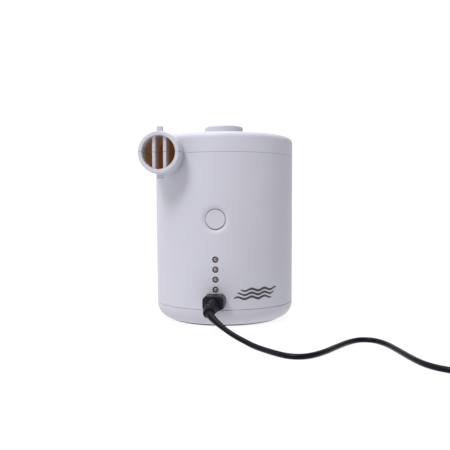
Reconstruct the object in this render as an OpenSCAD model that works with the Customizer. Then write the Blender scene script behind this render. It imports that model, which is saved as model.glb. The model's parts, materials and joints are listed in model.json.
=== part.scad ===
// Hand-sized rechargeable air mattress pump: a round blower on a battery base,
// with a side outlet, an inlet collar on top and a charging lead in its socket.
// Millimetres. +Z is up, the control side faces -Y, and the origin is on the
// body's axis at the plane that the rubber foot stands on.

/* [Housing] */
// Outer diameter of the round body at the cover seam
body_d = 96; // [95:0.5:97]
// Height of the seam between the main body and the top cover
seam_z = 111.7; // [111.4:0.1:112]
// Height of the seam between the base cap and the main body
base_seam_z = 11.8; // [11.6:0.1:12]
// Height of the flat top face
top_z = 124.9; // [124.6:0.1:125.4]
// Wall thickness of the moulded shells
wall = 2.2; // [2:0.1:2.4]
// Radius lost per millimetre of height below the cover seam
draft = 0.0068; // [0.004:0.0002:0.008]
// Radius of the rounded edge of the top cover
top_edge_r = 4; // [3:0.5:5]
// Radius of the rounded edge of the base cap
base_edge_r = 10.4; // [9.5:0.1:10.6]

/* [Inlet collar] */
// Outer diameter of the collar on the top cover
collar_d = 26.7; // [26:0.1:28]
// Height of the collar's rim
collar_z = 133.4; // [132:0.1:134]
// Diameter of the seat that the grille drops into
grille_d = 22.8; // [22:0.2:23]

/* [Outlet nozzle] */
// Distance of the nozzle's axis from the body's axis, to the left
nozzle_x = -34.3; // [-34.6:0.1:-34]
// Height of the nozzle's axis
nozzle_z = 111.3; // [111:0.1:111.6]
// Distance from the body's axis to the nozzle's front face
nozzle_front = 56; // [55:0.5:58]
// Outer diameter of the nozzle
nozzle_d = 26.4; // [26:0.2:27]
// Bore of the nozzle
nozzle_bore = 21.2; // [20.8:0.2:21.6]
// Length of the plain spigot in front of the lugs
spigot_len = 3.6; // [3:0.2:5]
// Thickness of each guard bar in the nozzle
guard_t = 2.1; // [1.8:0.1:2.4]
// Spacing of the two guard bars
guard_pitch = 7; // [6.5:0.1:7.5]
// Width of the bayonet lugs
lug_w = 3.5; // [3:0.1:4]
// Height of the bayonet lugs above the nozzle
lug_h = 2.8; // [2:0.1:3]
// Length of the bayonet lugs along the nozzle
lug_len = 3.4; // [3:0.1:4]

/* [Controls] */
// Diameter of the power button
button_d = 12.6; // [12:0.1:13.2]
// Height of the power button's centre
button_z = 69.2; // [66:0.2:72]
// Gap all round the button
button_gap = 0.3; // [0.25:0.05:0.4]
// Diameter of the holes for the status lights
led_hole_d = 4.1; // [3.9:0.1:4.2]
// Height of the lowest status light
led_z = 24.75; // [24.5:0.05:25.5]
// Spacing of the status lights
led_pitch = 6.35; // [6:0.05:6.5]
// Height of the charging socket's axis
socket_z = 16.4; // [16.2:0.1:16.8]

/* [Blower] */
// Diameter of the impeller
impeller_d = 52; // [50:0.5:53]
// Number of impeller blades
blades = 12; // [8:1:16]
// Inner radius of the scroll wall at its tongue
scroll_r0 = 28.6; // [28.4:0.1:29]
// Growth of the scroll wall's radius from the tongue to its full width
scroll_growth = 13.6; // [13:0.1:13.8]

/* [Motor and battery] */
// Diameter of the motor can
motor_d = 36; // [35:0.5:36.5]
// Length of the motor can
motor_len = 50; // [49:0.5:50]
// Diameter of a battery cell
cell_d = 18.4; // [18:0.1:18.6]
// Length of a battery cell
cell_len = 65; // [64.5:0.5:65]

/* [Charging lead] */
// Diameter of the charging cord
cord_d = 3; // [2.8:0.1:3.2]
// Width of the moulded plug
plug_w = 13.2; // [12.6:0.2:13.4]
// Height of the moulded plug
plug_h = 9.4; // [9:0.2:10]
// Length of the moulded plug's block
plug_len = 12; // [11:0.5:12]

/* [Hidden] */

$fn = 96;
eps = 0.01;          // overshoot of a cutter past the face that it cuts
arc_steps = 10;      // straight steps in a moulded edge

// Colours
white_shell = [0.81, 0.80, 0.84];
white_trim = [0.86, 0.85, 0.88];
black_plastic = [0.06, 0.06, 0.07];
steel = [0.72, 0.73, 0.75];
zinc = [0.62, 0.63, 0.65];
copper = [0.72, 0.38, 0.2];
brass = [0.78, 0.63, 0.3];
board_green = [0.06, 0.3, 0.16];

// Shells
body_r = body_d / 2;
lip_gap = 0.15;      // room between a locating lip and the wall around it
lip_t = 1.4;
lip_h = 3;
foot_proud = 0.8;    // the foot stands this far below the base cap
foot_r_in = 27;
foot_r_out = 33;
foot_seat = 1.2;
base_plate_t = 2.4;
spigot_step = 0.3;   // the nozzle is this much bigger in radius behind the spigot
inlet_r = 10.6;
grille_t = 1.8;
grille_drop = 1.4;   // the grille's top lies this far below the collar's rim

// Fasteners
cover_screw_r = 41.3;
cover_screw_angles = [250, 305, 0, 40];
cover_boss_r = 2.9;
cover_lug_r = 3.6;
cover_shank_r = 1.4;
lug_drop = 6;        // height of the lugs under the deck
base_screw_r = 37;
base_screw_angles = [90, 210, 330];
base_boss_r = 4.2;
base_boss_top = 24;
base_boss_split = 14;
base_recess_r = 3.1;
base_recess_top = 8;
base_shank_r = 1.4;

// Blower deck and scroll
deck_z = 95;
deck_t = 3.5;
deck_top = deck_z + deck_t;
deck_r = 45;
scroll_t = 1.4;
tongue_a = 236;
scroll_full_a = 515; // the wall stops growing here
scroll_end_a = 542;
scroll_step = 9;
gasket_t = 1.5;
cover_under_z = top_z - wall;
scroll_top = cover_under_z - gasket_t;
impeller_r = impeller_d / 2;
impeller_z = deck_top + 1.6;
backplate_t = 1.5;
blade_r_in = 13;
blade_t = 1.1;
blade_top = impeller_z + 14.4;
shroud_r_in = 15;
shroud_t = 1.2;
hub_r = 6;
hub_top = impeller_z + 12;
insert_r = 3.4;

// Motor
motor_r = motor_d / 2;
can_wall = 1.2;
motor_z = deck_z - motor_len;
shaft_r = 1.585;
bush_r = 4.5;
bush_gap = 0.02;
front_boss_r = 6;
front_boss_h = 3.3;
motor_screw_x = 12.5;
motor_screw_r = 1.5;
rear_boss_r = 6.5;
rear_boss_h = 3.5;
end_cap_t = 2;
magnet_gap = 0.8;
core_r = 11.3;
core_z0 = motor_z + 12.5;
core_z1 = motor_z + 38.5;
poles = 5;
commutator_r = 4.6;
terminal_x = 10;

// Battery
cell_r = cell_d / 2;
cell_x = 21.5;
cell_y = 23.5;
strip_t = 0.3;
tray_z = 12;
tray_t = 2.3;
cell_z = tray_z + tray_t + strip_t;
cell_top = cell_z + cell_len;
holder_r_in = cell_r + 0.2;
holder_r_out = cell_r + 1.5;
clamp_z = cell_top + strip_t;
clamp_t = 2.5;
clamp_points = [[0, 30.5], [35, 8], [-35, 8]];

// Board and controls
board_w = 30;
board_t = 1.6;
board_front = -36;
board_back = board_front + board_t;
board_z0 = 10;
board_z1 = 86;
board_screw_x = 11.5;
board_screw_zs = [30, 80];
board_boss_r = 2.6;
board_screw_hole_r = 1;
button_face = -46.7;
button_back = -43.2;
button_flange_t = 1.2;
switch_body_h = 3.5;
plunger_r = 1.75;
led_r = 1.5;
led_tip = -47.2;
led_base = -41.2;
socket_face = -44.6;
socket_w = 9;
barrel_r = 2.75;

// Charging lead
cord_r = cord_d / 2;
plug_back = -47.6;
plug_rise = 1.3;     // the block's middle lies this far above the socket's axis
relief_start = plug_back - plug_len;
relief_end = -75;
// The cord's route from the strain relief down to the surface and to its coil
cord_route = [
    [0, -75, 15.8], [0.5, -77.6, 15], [1.8, -80, 13.8], [3.9, -82.2, 12.3], [6.5, -84.6, 10.7],
    [10, -87.4, 8.7], [14, -90.5, 6.7], [18.5, -93.6, 4.9], [23.5, -97.2, 3.3], [28.5, -101.5, 2.1],
    [34.2, -107, 1.6], [41, -114, 1.5], [47, -118.4, 1.5], [53, -118.9, 1.5], [59, -115.2, 1.5],
    [65.4, -107, 1.5], [72.2, -95.4, 1.5], [79, -84.4, 1.5], [86.2, -77.4, 1.5], [93.6, -78, 1.5],
    [99.2, -86.2, 1.5], [103, -98.9, 1.5], [106.5, -113.2, 1.5], [110, -124.4, 1.5], [114, -131.4, 1.5],
    [118.5, -135.6, 1.5], [123, -138, 1.5], [129, -139.8, 1.5], [137, -140.5, 1.5],
    [145, -140.6, 1.7], [153, -140.5, 2.1]
];
// The cord's route from its coil to the far plug
tail_route = [
    [174.5, -119, 5.1], [174.5, -113, 4.8], [174, -106, 3.6], [172.8, -99.5, 3],
    [171.1, -94, 3.4], [169.5, -89.5, 4]
];
coil_x = 153;
coil_y = -119;
coil_r_in = 9.5;
coil_r_out = 23;
coil_h = 6.6;
tie_w = 5;
tie_t = 0.6;
usb_angle = 18.4;    // turn of the far plug from +Y
usb_w = 15.6;
usb_t = 8;
usb_len = 32;
usb_shell_w = 12;
usb_shell_t = 4.5;
usb_shell_len = 18.5;

// ---- Functions ----------------------------------------------------------------

// Outer radius of the drafted body at height z
function shell_r(z) = body_r - max(seam_z - z, 0) * draft;

// Points of an arc about c, from angle a0 to a1
function arc(c, r, a0, a1) =
    [for (i = [0:arc_steps]) let (a = a0 + (a1 - a0) * i / arc_steps) c + r * [cos(a), sin(a)]];

function polar(r, a) = [r * cos(a), r * sin(a)];

// Inner radius of the scroll wall at angle a
function scroll_r(a) =
    scroll_r0 + scroll_growth * min(1, (a - tongue_a) / (scroll_full_a - tongue_a));

// Point of a smooth curve through four route points, at share t of its middle span
function blend_point(a, b, c, d, t) =
    ((2 * b) + (c - a) * t + (2 * a - 5 * b + 4 * c - d) * t * t
        + (3 * b - a - 3 * c + d) * t * t * t) / 2;

// A route with each span cut into parts
function smooth_route(p, parts) = concat(
    [for (i = [0:len(p) - 2], k = [0:parts - 1])
        blend_point(p[max(i - 1, 0)], p[i], p[i + 1], p[min(i + 2, len(p) - 1)], k / parts)],
    [p[len(p) - 1]]);

function unit(v) = v / norm(v);
function heading(p, i) = unit(p[min(i + 1, len(p) - 1)] - p[max(i - 1, 0)]);

// ---- Shared shapes ------------------------------------------------------------

// Round tube swept along a route; up must never be parallel to the route
module swept_tube(route, r, sides, up) {
    n = len(route);
    points = [for (i = [0:n - 1], k = [0:sides - 1])
        let (t = heading(route, i), u = unit(cross(t, up)), v = cross(t, u),
            a = 360 * k / sides)
        route[i] + r * (cos(a) * u + sin(a) * v)];
    sides_list = [for (i = [0:n - 2], k = [0:sides - 1])
        let (k2 = (k + 1) % sides)
        [i * sides + k, i * sides + k2, (i + 1) * sides + k2, (i + 1) * sides + k]];
    ends = [[for (k = [sides - 1:-1:0]) k], [for (k = [0:sides - 1]) (n - 1) * sides + k]];
    polyhedron(points, concat(sides_list, ends), convexity = 10);
}

// Puts children on an axis that runs from the point at depth y towards -Y
module facing_front(x, y, z) translate([x, y, z]) rotate([90, 0, 0]) children();

// Ring between two radii
module tube(r_out, r_in, z0, z1)
    translate([0, 0, z0]) difference() {
        cylinder(r = r_out, h = z1 - z0);
        translate([0, 0, -eps]) cylinder(r = r_in, h = z1 - z0 + 2 * eps);
    }

// Screw with its head's underside at z = 0 and its shank along +Z
module screw(head_r, head_h, shank_r, len) {
    difference() {
        translate([0, 0, -head_h]) cylinder(r = head_r, h = head_h);
        for (a = [0, 90]) rotate(a)
            translate([-head_r * 0.6, -0.4, -head_h - eps]) cube([head_r * 1.2, 0.8, head_h * 0.5]);
    }
    cylinder(r = shank_r, h = len);
}

// Outline of a rectangle with its corners cut at 45 degrees
module cut_corner_rect(w, h, c)
    polygon([[-w / 2 + c, -h / 2], [w / 2 - c, -h / 2], [w / 2, -h / 2 + c], [w / 2, h / 2 - c],
        [w / 2 - c, h / 2], [-w / 2 + c, h / 2], [-w / 2, h / 2 - c], [-w / 2, -h / 2 + c]]);

// Solid that reaches half way through the shells' walls, for trimming the nozzle
module shell_core()
    translate([0, 0, base_seam_z]) cylinder(r = body_r - wall / 2, h = top_z - wall / 2 - base_seam_z);

// ---- Outlet nozzle, split at the cover seam --------------------------------------

module nozzle_profile() {
    r = nozzle_d / 2;
    b = nozzle_bore / 2;
    f = nozzle_front;
    back = 6;
    polygon([[b, back], [r + spigot_step, back], [r + spigot_step, f - spigot_len], [r, f - spigot_len],
        [r, f - 0.5], [r - 0.5, f], [b + 0.4, f], [b, f - 0.4]]);
}

module nozzle_lugs()
    for (side = [0, 1]) translate([nozzle_x - lug_w / 2, -nozzle_front + spigot_len, nozzle_z])
        mirror([0, 0, side]) translate([0, 0, nozzle_d / 2 - 0.5])
            cube([lug_w, lug_len, lug_h + 0.5]);

// The whole nozzle outside the shells' walls
module nozzle_solid() {
    difference() {
        union() {
            facing_front(nozzle_x, 0, nozzle_z) rotate_extrude() nozzle_profile();
            nozzle_lugs();
        }
        shell_core();
    }
}

// Air way through the wall and along the nozzle
module nozzle_airway()
    facing_front(nozzle_x, 0, nozzle_z) translate([0, 0, 5]) cylinder(d = nozzle_bore, h = 60);

// Guard bars, clipped to the airway
module guard_bars()
    intersection() {
        facing_front(nozzle_x, 0, nozzle_z) cylinder(d = nozzle_bore + 0.6, h = 60);
        for (s = [-1, 1])
            translate([nozzle_x + s * guard_pitch / 2 - guard_t / 2, -nozzle_front + 2.6,
                nozzle_z - nozzle_d / 2])
                cube([guard_t, 10, nozzle_d]);
    }

module above_seam() translate([-100, -100, seam_z]) cube([200, 200, 60]);
module below_seam() translate([-100, -100, seam_z - 60]) cube([200, 200, 60]);

// ---- Housing ----------------------------------------------------------------------

module at_cover_screws() for (a = cover_screw_angles) rotate(a) translate([cover_screw_r, 0, 0]) children();
module at_base_screws() for (a = base_screw_angles) rotate(a) translate([base_screw_r, 0, 0]) children();

module main_body() color(white_shell) {
    z_lug = deck_z - lug_drop;
    short_h = lug_drop - 0.4;      // the lugs stop short, so that the ledge seats the deck
    difference() {
        union() {
            rotate_extrude() polygon([[shell_r(base_seam_z) - wall, base_seam_z],
                [shell_r(base_seam_z), base_seam_z], [body_r, seam_z], [body_r - wall, seam_z]]);
            // Ledge that carries the deck
            rotate_extrude() polygon([[43.4, deck_z], [shell_r(deck_z) - wall / 2, deck_z],
                [shell_r(deck_z - 4) - wall / 2, deck_z - 4]]);
            difference() {
                nozzle_solid();
                above_seam();
            }
            for (a = cover_screw_angles) rotate(a) {
                translate([cover_screw_r, 0, z_lug]) cylinder(r = cover_lug_r, h = short_h);
                translate([cover_screw_r, -cover_lug_r, z_lug])
                    cube([shell_r(z_lug) - wall / 2 - cover_screw_r, 2 * cover_lug_r, short_h]);
            }
            for (a = base_screw_angles) rotate(a) {
                h = base_boss_top - base_boss_split;
                translate([base_screw_r, 0, base_boss_split]) cylinder(r = base_boss_r, h = h);
                translate([base_screw_r, -1.5, base_boss_split + 1.2])
                    cube([shell_r(base_boss_split) - wall / 2 - base_screw_r, 3, h - 1.2]);
            }
            // Bosses that carry the board
            for (s = [-1, 1], z = board_screw_zs)
                facing_front(s * board_screw_x, board_front, z) cylinder(r = board_boss_r, h = 8.6);
        }
        nozzle_airway();
        // Button opening with its dished edge
        facing_front(0, -38, button_z) cylinder(r = button_d / 2 + button_gap, h = 14);
        facing_front(0, -46.4, button_z) cylinder(r1 = button_d / 2, r2 = button_d / 2 + 2, h = 2);
        for (i = [0:3])
            facing_front(0, -40, led_z + i * led_pitch) cylinder(d = led_hole_d, h = 12);
        facing_front(0, -40, socket_z) cylinder(r = barrel_r + 0.6, h = 12);
        at_cover_screws() translate([0, 0, z_lug - eps])
            cylinder(r = cover_shank_r + 0.1, h = lug_drop + 2 * eps);
        at_base_screws() translate([0, 0, base_boss_split - eps]) cylinder(r = base_shank_r, h = 8);
        for (s = [-1, 1], z = board_screw_zs)
            facing_front(s * board_screw_x, board_front + eps, z)
                cylinder(r = board_screw_hole_r, h = 6);
    }
    difference() {
        guard_bars();
        above_seam();
    }
}

module top_cover() color(white_shell) {
    cr = collar_d / 2;
    seat_z = collar_z - grille_drop - grille_t;
    outer = concat([[body_r, seam_z]], arc([body_r - top_edge_r, top_z - top_edge_r], top_edge_r, 0, 90),
        [[cr, top_z], [cr, collar_z - 1.1], [cr - 0.35, collar_z - 0.35],
        [cr - 1.1, collar_z], [grille_d / 2, collar_z],
        [grille_d / 2, seat_z], [inlet_r, seat_z], [inlet_r, cover_under_z - 4],
        [inlet_r + 1.3, cover_under_z - 4], [inlet_r + 1.3, cover_under_z]]);
    inner = concat(arc([body_r - wall - 2, cover_under_z - 2], 2, 90, 0), [[body_r - wall, seam_z]]);
    difference() {
        union() {
            rotate_extrude() polygon(concat(outer, inner));
            // Lip that locates the cover in the main body
            tube(body_r - wall - lip_gap, body_r - wall - lip_gap - lip_t, seam_z - lip_h, seam_z);
            tube(body_r - wall / 2, body_r - wall - lip_gap - lip_t, seam_z, seam_z + 1.2);
            difference() {
                nozzle_solid();
                below_seam();
            }
            at_cover_screws() translate([0, 0, deck_top])
                cylinder(r = cover_boss_r, h = cover_under_z - deck_top + wall / 2);
        }
        nozzle_airway();
        // The lip stays clear of the nozzle's lower half
        translate([nozzle_x - 11.5, -60, seam_z - lip_h - eps]) cube([23, 60, lip_h + eps]);
        at_cover_screws() translate([0, 0, deck_top - eps]) cylinder(r = cover_shank_r, h = 10);
    }
    difference() {
        guard_bars();
        below_seam();
    }
}

module base_cap() color(white_shell) {
    r = shell_r(base_seam_z);
    arc_z = foot_proud + base_edge_r;
    lip_r = r - wall - lip_gap;
    floor_z = foot_proud + base_plate_t;
    inner_edge = base_edge_r - base_plate_t;
    outer = concat([[0, foot_proud]], arc([r - base_edge_r, arc_z], base_edge_r, -90, 0),
        [[r, base_seam_z], [lip_r, base_seam_z], [lip_r, base_seam_z + lip_h],
        [lip_r - lip_t, base_seam_z + lip_h]]);
    inner = concat(arc([lip_r - lip_t - inner_edge, arc_z], inner_edge, 0, -90), [[0, floor_z]]);
    difference() {
        union() {
            rotate_extrude() polygon(concat(outer, inner));
            at_base_screws() translate([0, 0, floor_z - 1])
                cylinder(r = base_boss_r + 0.4, h = base_boss_split - floor_z + 1);
            // Pillars under the battery tray
            for (s = [-1, 1], p = [[15, 18], [27, 26]])
                translate([s * p[0], p[1], floor_z - 1]) cylinder(r = 2.4, h = tray_z - floor_z + 1);
        }
        tube(foot_r_out, foot_r_in, foot_proud - eps, foot_proud + foot_seat);
        // The lip makes room for the charging socket
        translate([-6, -50, base_seam_z]) cube([12, 10, lip_h + 1]);
        at_base_screws() {
            translate([0, 0, foot_proud - 1])
                cylinder(r = base_recess_r, h = base_recess_top - foot_proud + 1);
            cylinder(r = base_shank_r + 0.1, h = base_boss_split + 1);
        }
    }
}

module flat_ring(r_out, r_in)
    difference() {
        circle(r = r_out);
        circle(r = r_in);
    }

module inlet_grille() color(white_trim)
    translate([0, 0, collar_z - grille_drop - grille_t]) linear_extrude(grille_t) {
        circle(r = 2.6);
        for (r = [5.2, 8]) flat_ring(r + 0.6, r - 0.6);
        flat_ring(grille_d / 2, 9.8);
        for (a = [0:60:300]) rotate(a) translate([2, -0.6]) square([8.2, 1.2]);
    }

module foot_ring() color(black_plastic) tube(foot_r_out, foot_r_in, 0, foot_proud + foot_seat);

// ---- Blower -----------------------------------------------------------------------

module scroll_outline() {
    angles = [for (a = [tongue_a:scroll_step:scroll_end_a]) a];
    n = len(angles);
    polygon(concat([for (a = angles) polar(scroll_r(a), a)],
        [for (i = [n - 1:-1:0]) polar(scroll_r(angles[i]) + scroll_t, angles[i])]));
    // Straight wall from the tongue to the housing
    tip = polar(scroll_r0, tongue_a);
    polygon([tip, tip + [scroll_t * 1.2, -0.5], [-20.2, -38.9], [-21.8, -38.2]]);
}

module volute_deck() color(white_trim)
    difference() {
        union() {
            translate([0, 0, deck_z]) cylinder(r = deck_r, h = deck_t);
            translate([0, 0, deck_z + 1]) linear_extrude(scroll_top - deck_z - 1) scroll_outline();
            for (p = clamp_points)
                translate([p[0], p[1], clamp_z + clamp_t])
                    cylinder(r = 3.4, h = deck_z - clamp_z - clamp_t + 1);
        }
        translate([0, 0, deck_z - eps]) cylinder(r = front_boss_r, h = deck_t + 2 * eps);
        for (s = [-1, 1]) translate([0, s * motor_screw_x, 0]) {
            translate([0, 0, deck_z - eps]) cylinder(r = motor_screw_r + 0.1, h = deck_t + 2 * eps);
            translate([0, 0, deck_top - 1.9]) cylinder(r = 3, h = 3);
        }
        at_cover_screws() translate([0, 0, deck_z - eps])
            cylinder(r = cover_shank_r + 0.1, h = deck_t + 2 * eps);
        for (p = clamp_points) translate([p[0], p[1], clamp_z]) cylinder(r = 1.1, h = 10.4);
    }

module scroll_gasket() color(black_plastic)
    translate([0, 0, scroll_top]) linear_extrude(gasket_t) scroll_outline();

// One backward-curved blade from the eye to the rim
module blade_outline() {
    sweep = 34;
    steps = 8;
    radii = [for (i = [0:steps]) blade_r_in + (impeller_r - 0.2 - blade_r_in) * i / steps];
    turn = function (r) -sweep * pow((r - blade_r_in) / (impeller_r - blade_r_in), 1.3);
    polygon(concat([for (r = radii) polar(r, turn(r))],
        [for (i = [steps:-1:0]) let (r = radii[i]) polar(r, turn(r) + asin(blade_t / r))]));
}

module impeller() color([0.93, 0.93, 0.9])
    difference() {
        union() {
            translate([0, 0, impeller_z]) cylinder(r = impeller_r, h = backplate_t);
            translate([0, 0, impeller_z]) cylinder(r = hub_r, h = hub_top - impeller_z);
            translate([0, 0, impeller_z + 1]) linear_extrude(blade_top - impeller_z - 1)
                for (i = [0:blades - 1]) rotate(360 * i / blades) blade_outline();
            tube(impeller_r, shroud_r_in, blade_top - 0.3, blade_top + shroud_t);
        }
        translate([0, 0, impeller_z - eps]) cylinder(r = insert_r, h = hub_top);
    }

module impeller_bush() color(brass) tube(insert_r, shaft_r, impeller_z, hub_top);

// ---- Motor ------------------------------------------------------------------------

module motor_can() color(zinc)
    difference() {
        union() {
            translate([0, 0, motor_z]) cylinder(r = motor_r, h = motor_len);
            translate([0, 0, deck_z - 1]) cylinder(r = front_boss_r, h = 1 + front_boss_h);
        }
        translate([0, 0, motor_z - eps]) cylinder(r = motor_r - can_wall, h = motor_len - can_wall + eps);
        translate([0, 0, deck_z - 5]) cylinder(r = bush_r, h = 10);
        for (s = [-1, 1]) translate([0, s * motor_screw_x, deck_z - 3]) cylinder(r = motor_screw_r, h = 5);
    }

module motor_end_cap() color(black_plastic)
    difference() {
        union() {
            translate([0, 0, motor_z - end_cap_t]) cylinder(r = motor_r - 0.1, h = end_cap_t);
            translate([0, 0, motor_z - eps]) cylinder(r = motor_r - can_wall, h = end_cap_t);
            translate([0, 0, motor_z - end_cap_t - rear_boss_h])
                cylinder(r = rear_boss_r, h = rear_boss_h + 1);
        }
        translate([0, 0, motor_z - 8]) cylinder(r = bush_r, h = 12);
        for (s = [-1, 1]) translate([s * terminal_x - 0.4, -1.6, motor_z - 8]) cube([0.8, 3.2, 12]);
    }

module motor_bushes() color(brass) {
    tube(bush_r, shaft_r + bush_gap, deck_z - 1.2, deck_z + front_boss_h);
    tube(bush_r, shaft_r + bush_gap, motor_z - 5, motor_z + 1.5);
}

module motor_shaft() color(steel)
    translate([0, 0, motor_z - 5]) cylinder(r = shaft_r, h = hub_top - motor_z + 4);

module armature_core() color(steel)
    translate([0, 0, core_z0]) linear_extrude(core_z1 - core_z0) difference() {
        circle(r = core_r);
        circle(r = shaft_r);
        for (i = [0:poles - 1]) rotate(360 * i / poles) {
            translate([7.2, 0]) circle(r = 2.6);
            translate([7, -0.9]) square([6, 1.8]);
        }
    }

module armature_windings() color(copper) {
    for (i = [0:poles - 1]) rotate(360 * i / poles)
        translate([7.2, 0, core_z0 - 2]) cylinder(r = 2.5, h = core_z1 - core_z0 + 4);
    for (z = [core_z0 - 4, core_z1]) tube(10.2, 3.4, z, z + 4);
}

module commutator() color(copper)
    difference() {
        tube(commutator_r, shaft_r, motor_z + 3, core_z0 - 4);
        for (i = [0:poles - 1]) rotate(360 * i / poles + 36)
            translate([3.2, -0.2, motor_z + 2]) cube([3, 0.4, 12]);
    }

module motor_magnets() color([0.25, 0.25, 0.27])
    for (a = [30, 210]) rotate(a) translate([0, 0, core_z0 - 2])
        rotate_extrude(angle = 120)
            translate([core_r + magnet_gap, 0])
                square([motor_r - can_wall - core_r - magnet_gap, core_z1 - core_z0 + 4]);

module motor_brushes() color([0.2, 0.2, 0.21])
    for (a = [0, 180]) rotate(a)
        translate([commutator_r + 0.25, -1.5, motor_z + 3.6]) cube([5, 3, 3.4]);

module motor_terminals() color(brass)
    for (a = [0, 180]) rotate(a) {
        translate([terminal_x - 0.4, -1.6, motor_z - 9]) cube([0.8, 3.2, 12.2]);
        translate([terminal_x - 2.4, -1.6, motor_z + 3.2]) cube([2.8, 3.2, 0.4]);
    }

module motor_screws() color(steel)
    for (s = [-1, 1]) translate([0, s * motor_screw_x, deck_top - 1.9])
        mirror([0, 0, 1]) screw(2.8, 1.7, motor_screw_r, 4.6);

// ---- Battery ----------------------------------------------------------------------

// One cell with its positive cap at the top
module cell() {
    translate([0, 0, cell_z]) cylinder(r = cell_r, h = cell_len - 0.6);
    translate([0, 0, cell_z + 1]) cylinder(r = 3.2, h = cell_len - 1);
}

module cell_left() color([0.2, 0.55, 0.7]) translate([-cell_x, cell_y, 0]) cell();

module cell_right() color([0.2, 0.55, 0.7])
    translate([cell_x, cell_y, 2 * cell_z + cell_len]) mirror([0, 0, 1]) cell();

module holder_outline() {
    for (s = [-1, 1]) translate([s * cell_x, cell_y]) circle(r = holder_r_out);
    translate([-cell_x, 19.5]) square([2 * cell_x, 9]);
}

module battery_tray() color(black_plastic)
    difference() {
        union() {
            translate([0, 0, tray_z]) linear_extrude(tray_t) holder_outline();
            for (s = [-1, 1]) translate([s * cell_x, cell_y, 0])
                tube(holder_r_out, holder_r_in, tray_z + 1, tray_z + 12);
        }
        // Slots for the tabs
        for (s = [-1, 1]) translate([s * cell_x - 3.2, cell_y - 13, tray_z + tray_t]) cube([6.4, 6, 2.4]);
    }

module battery_clamp() color(black_plastic)
    difference() {
        union() {
            translate([0, 0, clamp_z]) linear_extrude(clamp_t) {
                holder_outline();
                for (p = clamp_points) translate(p) circle(r = 4);
                for (side = [0, 1]) mirror([side, 0]) translate([27.5, 8]) square([10.6, 14]);
            }
            // Rings round the cells' tops, cut away for the link between them
            difference() {
                for (s = [-1, 1]) translate([s * cell_x, cell_y, 0])
                    tube(holder_r_out, holder_r_in, clamp_z - 6, clamp_z + 1);
                translate([-cell_x, cell_y - 4.2, clamp_z - 7]) cube([2 * cell_x, 8.4, 7]);
            }
        }
        for (p = clamp_points)
            translate([p[0], p[1], clamp_z - eps]) cylinder(r = 1.2, h = clamp_t + 2 * eps);
    }

module clamp_screws() color(steel)
    for (p = clamp_points) translate([p[0], p[1], clamp_z]) screw(2.1, 1.6, 1.1, 10.4);

module cell_link() color(zinc)
    translate([-cell_x - 4, cell_y - 3.5, cell_top]) cube([2 * cell_x + 8, 7, strip_t]);

module cell_tabs() color(zinc)
    for (s = [-1, 1]) translate([s * cell_x - 2.5, cell_y - 14, cell_z - strip_t]) cube([5, 18, strip_t]);

// ---- Board and controls --------------------------------------------------------------

module control_board() color(board_green)
    difference() {
        translate([-board_w / 2, board_front, board_z0]) cube([board_w, board_t, board_z1 - board_z0]);
        for (s = [-1, 1], z = board_screw_zs)
            facing_front(s * board_screw_x, board_back + 1, z) cylinder(r = 1.2, h = 4);
    }

// Block standing on the back of the board
module board_block(x, z, w, h, depth)
    translate([x - w / 2, board_back, z - h / 2]) cube([w, depth, h]);

module control_chip() color(black_plastic) {
    board_block(-6, 50, 7, 9, 1.7);
    board_block(7, 44, 5, 6, 1.5);
}

module power_inductor() color([0.3, 0.3, 0.32]) board_block(5, 60, 10, 10, 4.5);

module board_capacitors() color([0.15, 0.2, 0.35])
    for (x = [-6, 4]) facing_front(x, board_back + 8, 72) cylinder(r = 3.2, h = 8);

module wire_connectors() color(white_trim)
    for (z = [18, 38]) board_block(0, z, 10, 6, 6);

module board_screws() color(steel)
    for (s = [-1, 1], z = board_screw_zs)
        facing_front(s * board_screw_x, board_back, z) screw(2, 1.4, board_screw_hole_r, 7);

module tact_switch() color(black_plastic)
    difference() {
        translate([-3, board_front - switch_body_h, button_z - 3]) cube([6, switch_body_h, 6]);
        facing_front(0, board_front - 1, button_z) cylinder(r = plunger_r + 0.2, h = 4);
    }

module tact_plunger() color([0.2, 0.2, 0.2])
    facing_front(0, board_front - 2, button_z) cylinder(r = plunger_r, h = board_front - 2 - button_back);

module status_led(i) color([0.85, 0.8, 0.82])
    facing_front(0, led_base, led_z + (4 - i) * led_pitch) {
        rotate_extrude() polygon(concat([[0, 0], [1.9, 0], [1.9, 1], [led_r, 1]],
            arc([0, led_base - led_tip - led_r], led_r, 0, 90)));
    }

module led_legs() color(steel)
    for (i = [0:3], s = [-1, 1])
        facing_front(s * 1.0, board_front, led_z + i * led_pitch)
            cylinder(r = 0.25, h = board_front - led_base);

module charge_socket() color(black_plastic) {
    depth = board_front - socket_face;
    difference() {
        translate([-socket_w / 2, socket_face, socket_z - socket_w / 2]) cube([socket_w, depth, socket_w]);
        facing_front(0, board_front - 0.8, socket_z) cylinder(r = barrel_r + 0.25, h = depth);
    }
    facing_front(0, board_front - 0.4, socket_z) cylinder(r = 1, h = depth - 1);
}

module power_button() color(white_trim)
    facing_front(0, button_back, button_z) rotate_extrude()
        polygon(concat([[0, 0], [button_d / 2 + 1.5, 0], [button_d / 2 + 1.5, button_flange_t],
            [button_d / 2, button_flange_t]],
            arc([button_d / 2 - 0.7, button_back - button_face - 0.7], 0.7, 0, 90),
            [[0, button_back - button_face]]));

// ---- Wires inside the housing ---------------------------------------------------------

module inner_wire(route) swept_tube(smooth_route(route, 2), 0.8, 8, [1, 0, 0.3]);

function motor_lead_route(s) = [
    [s * 11.2, -0.5, motor_z - 7], [s * 11.4, -3.5, motor_z - 11.5], [s * 10, -10, motor_z - 15],
    [s * 6.5, -18, motor_z - 14], [s * 3.4, -24, motor_z - 9.5], [s * 2.6, -29, motor_z - 7]];

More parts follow.
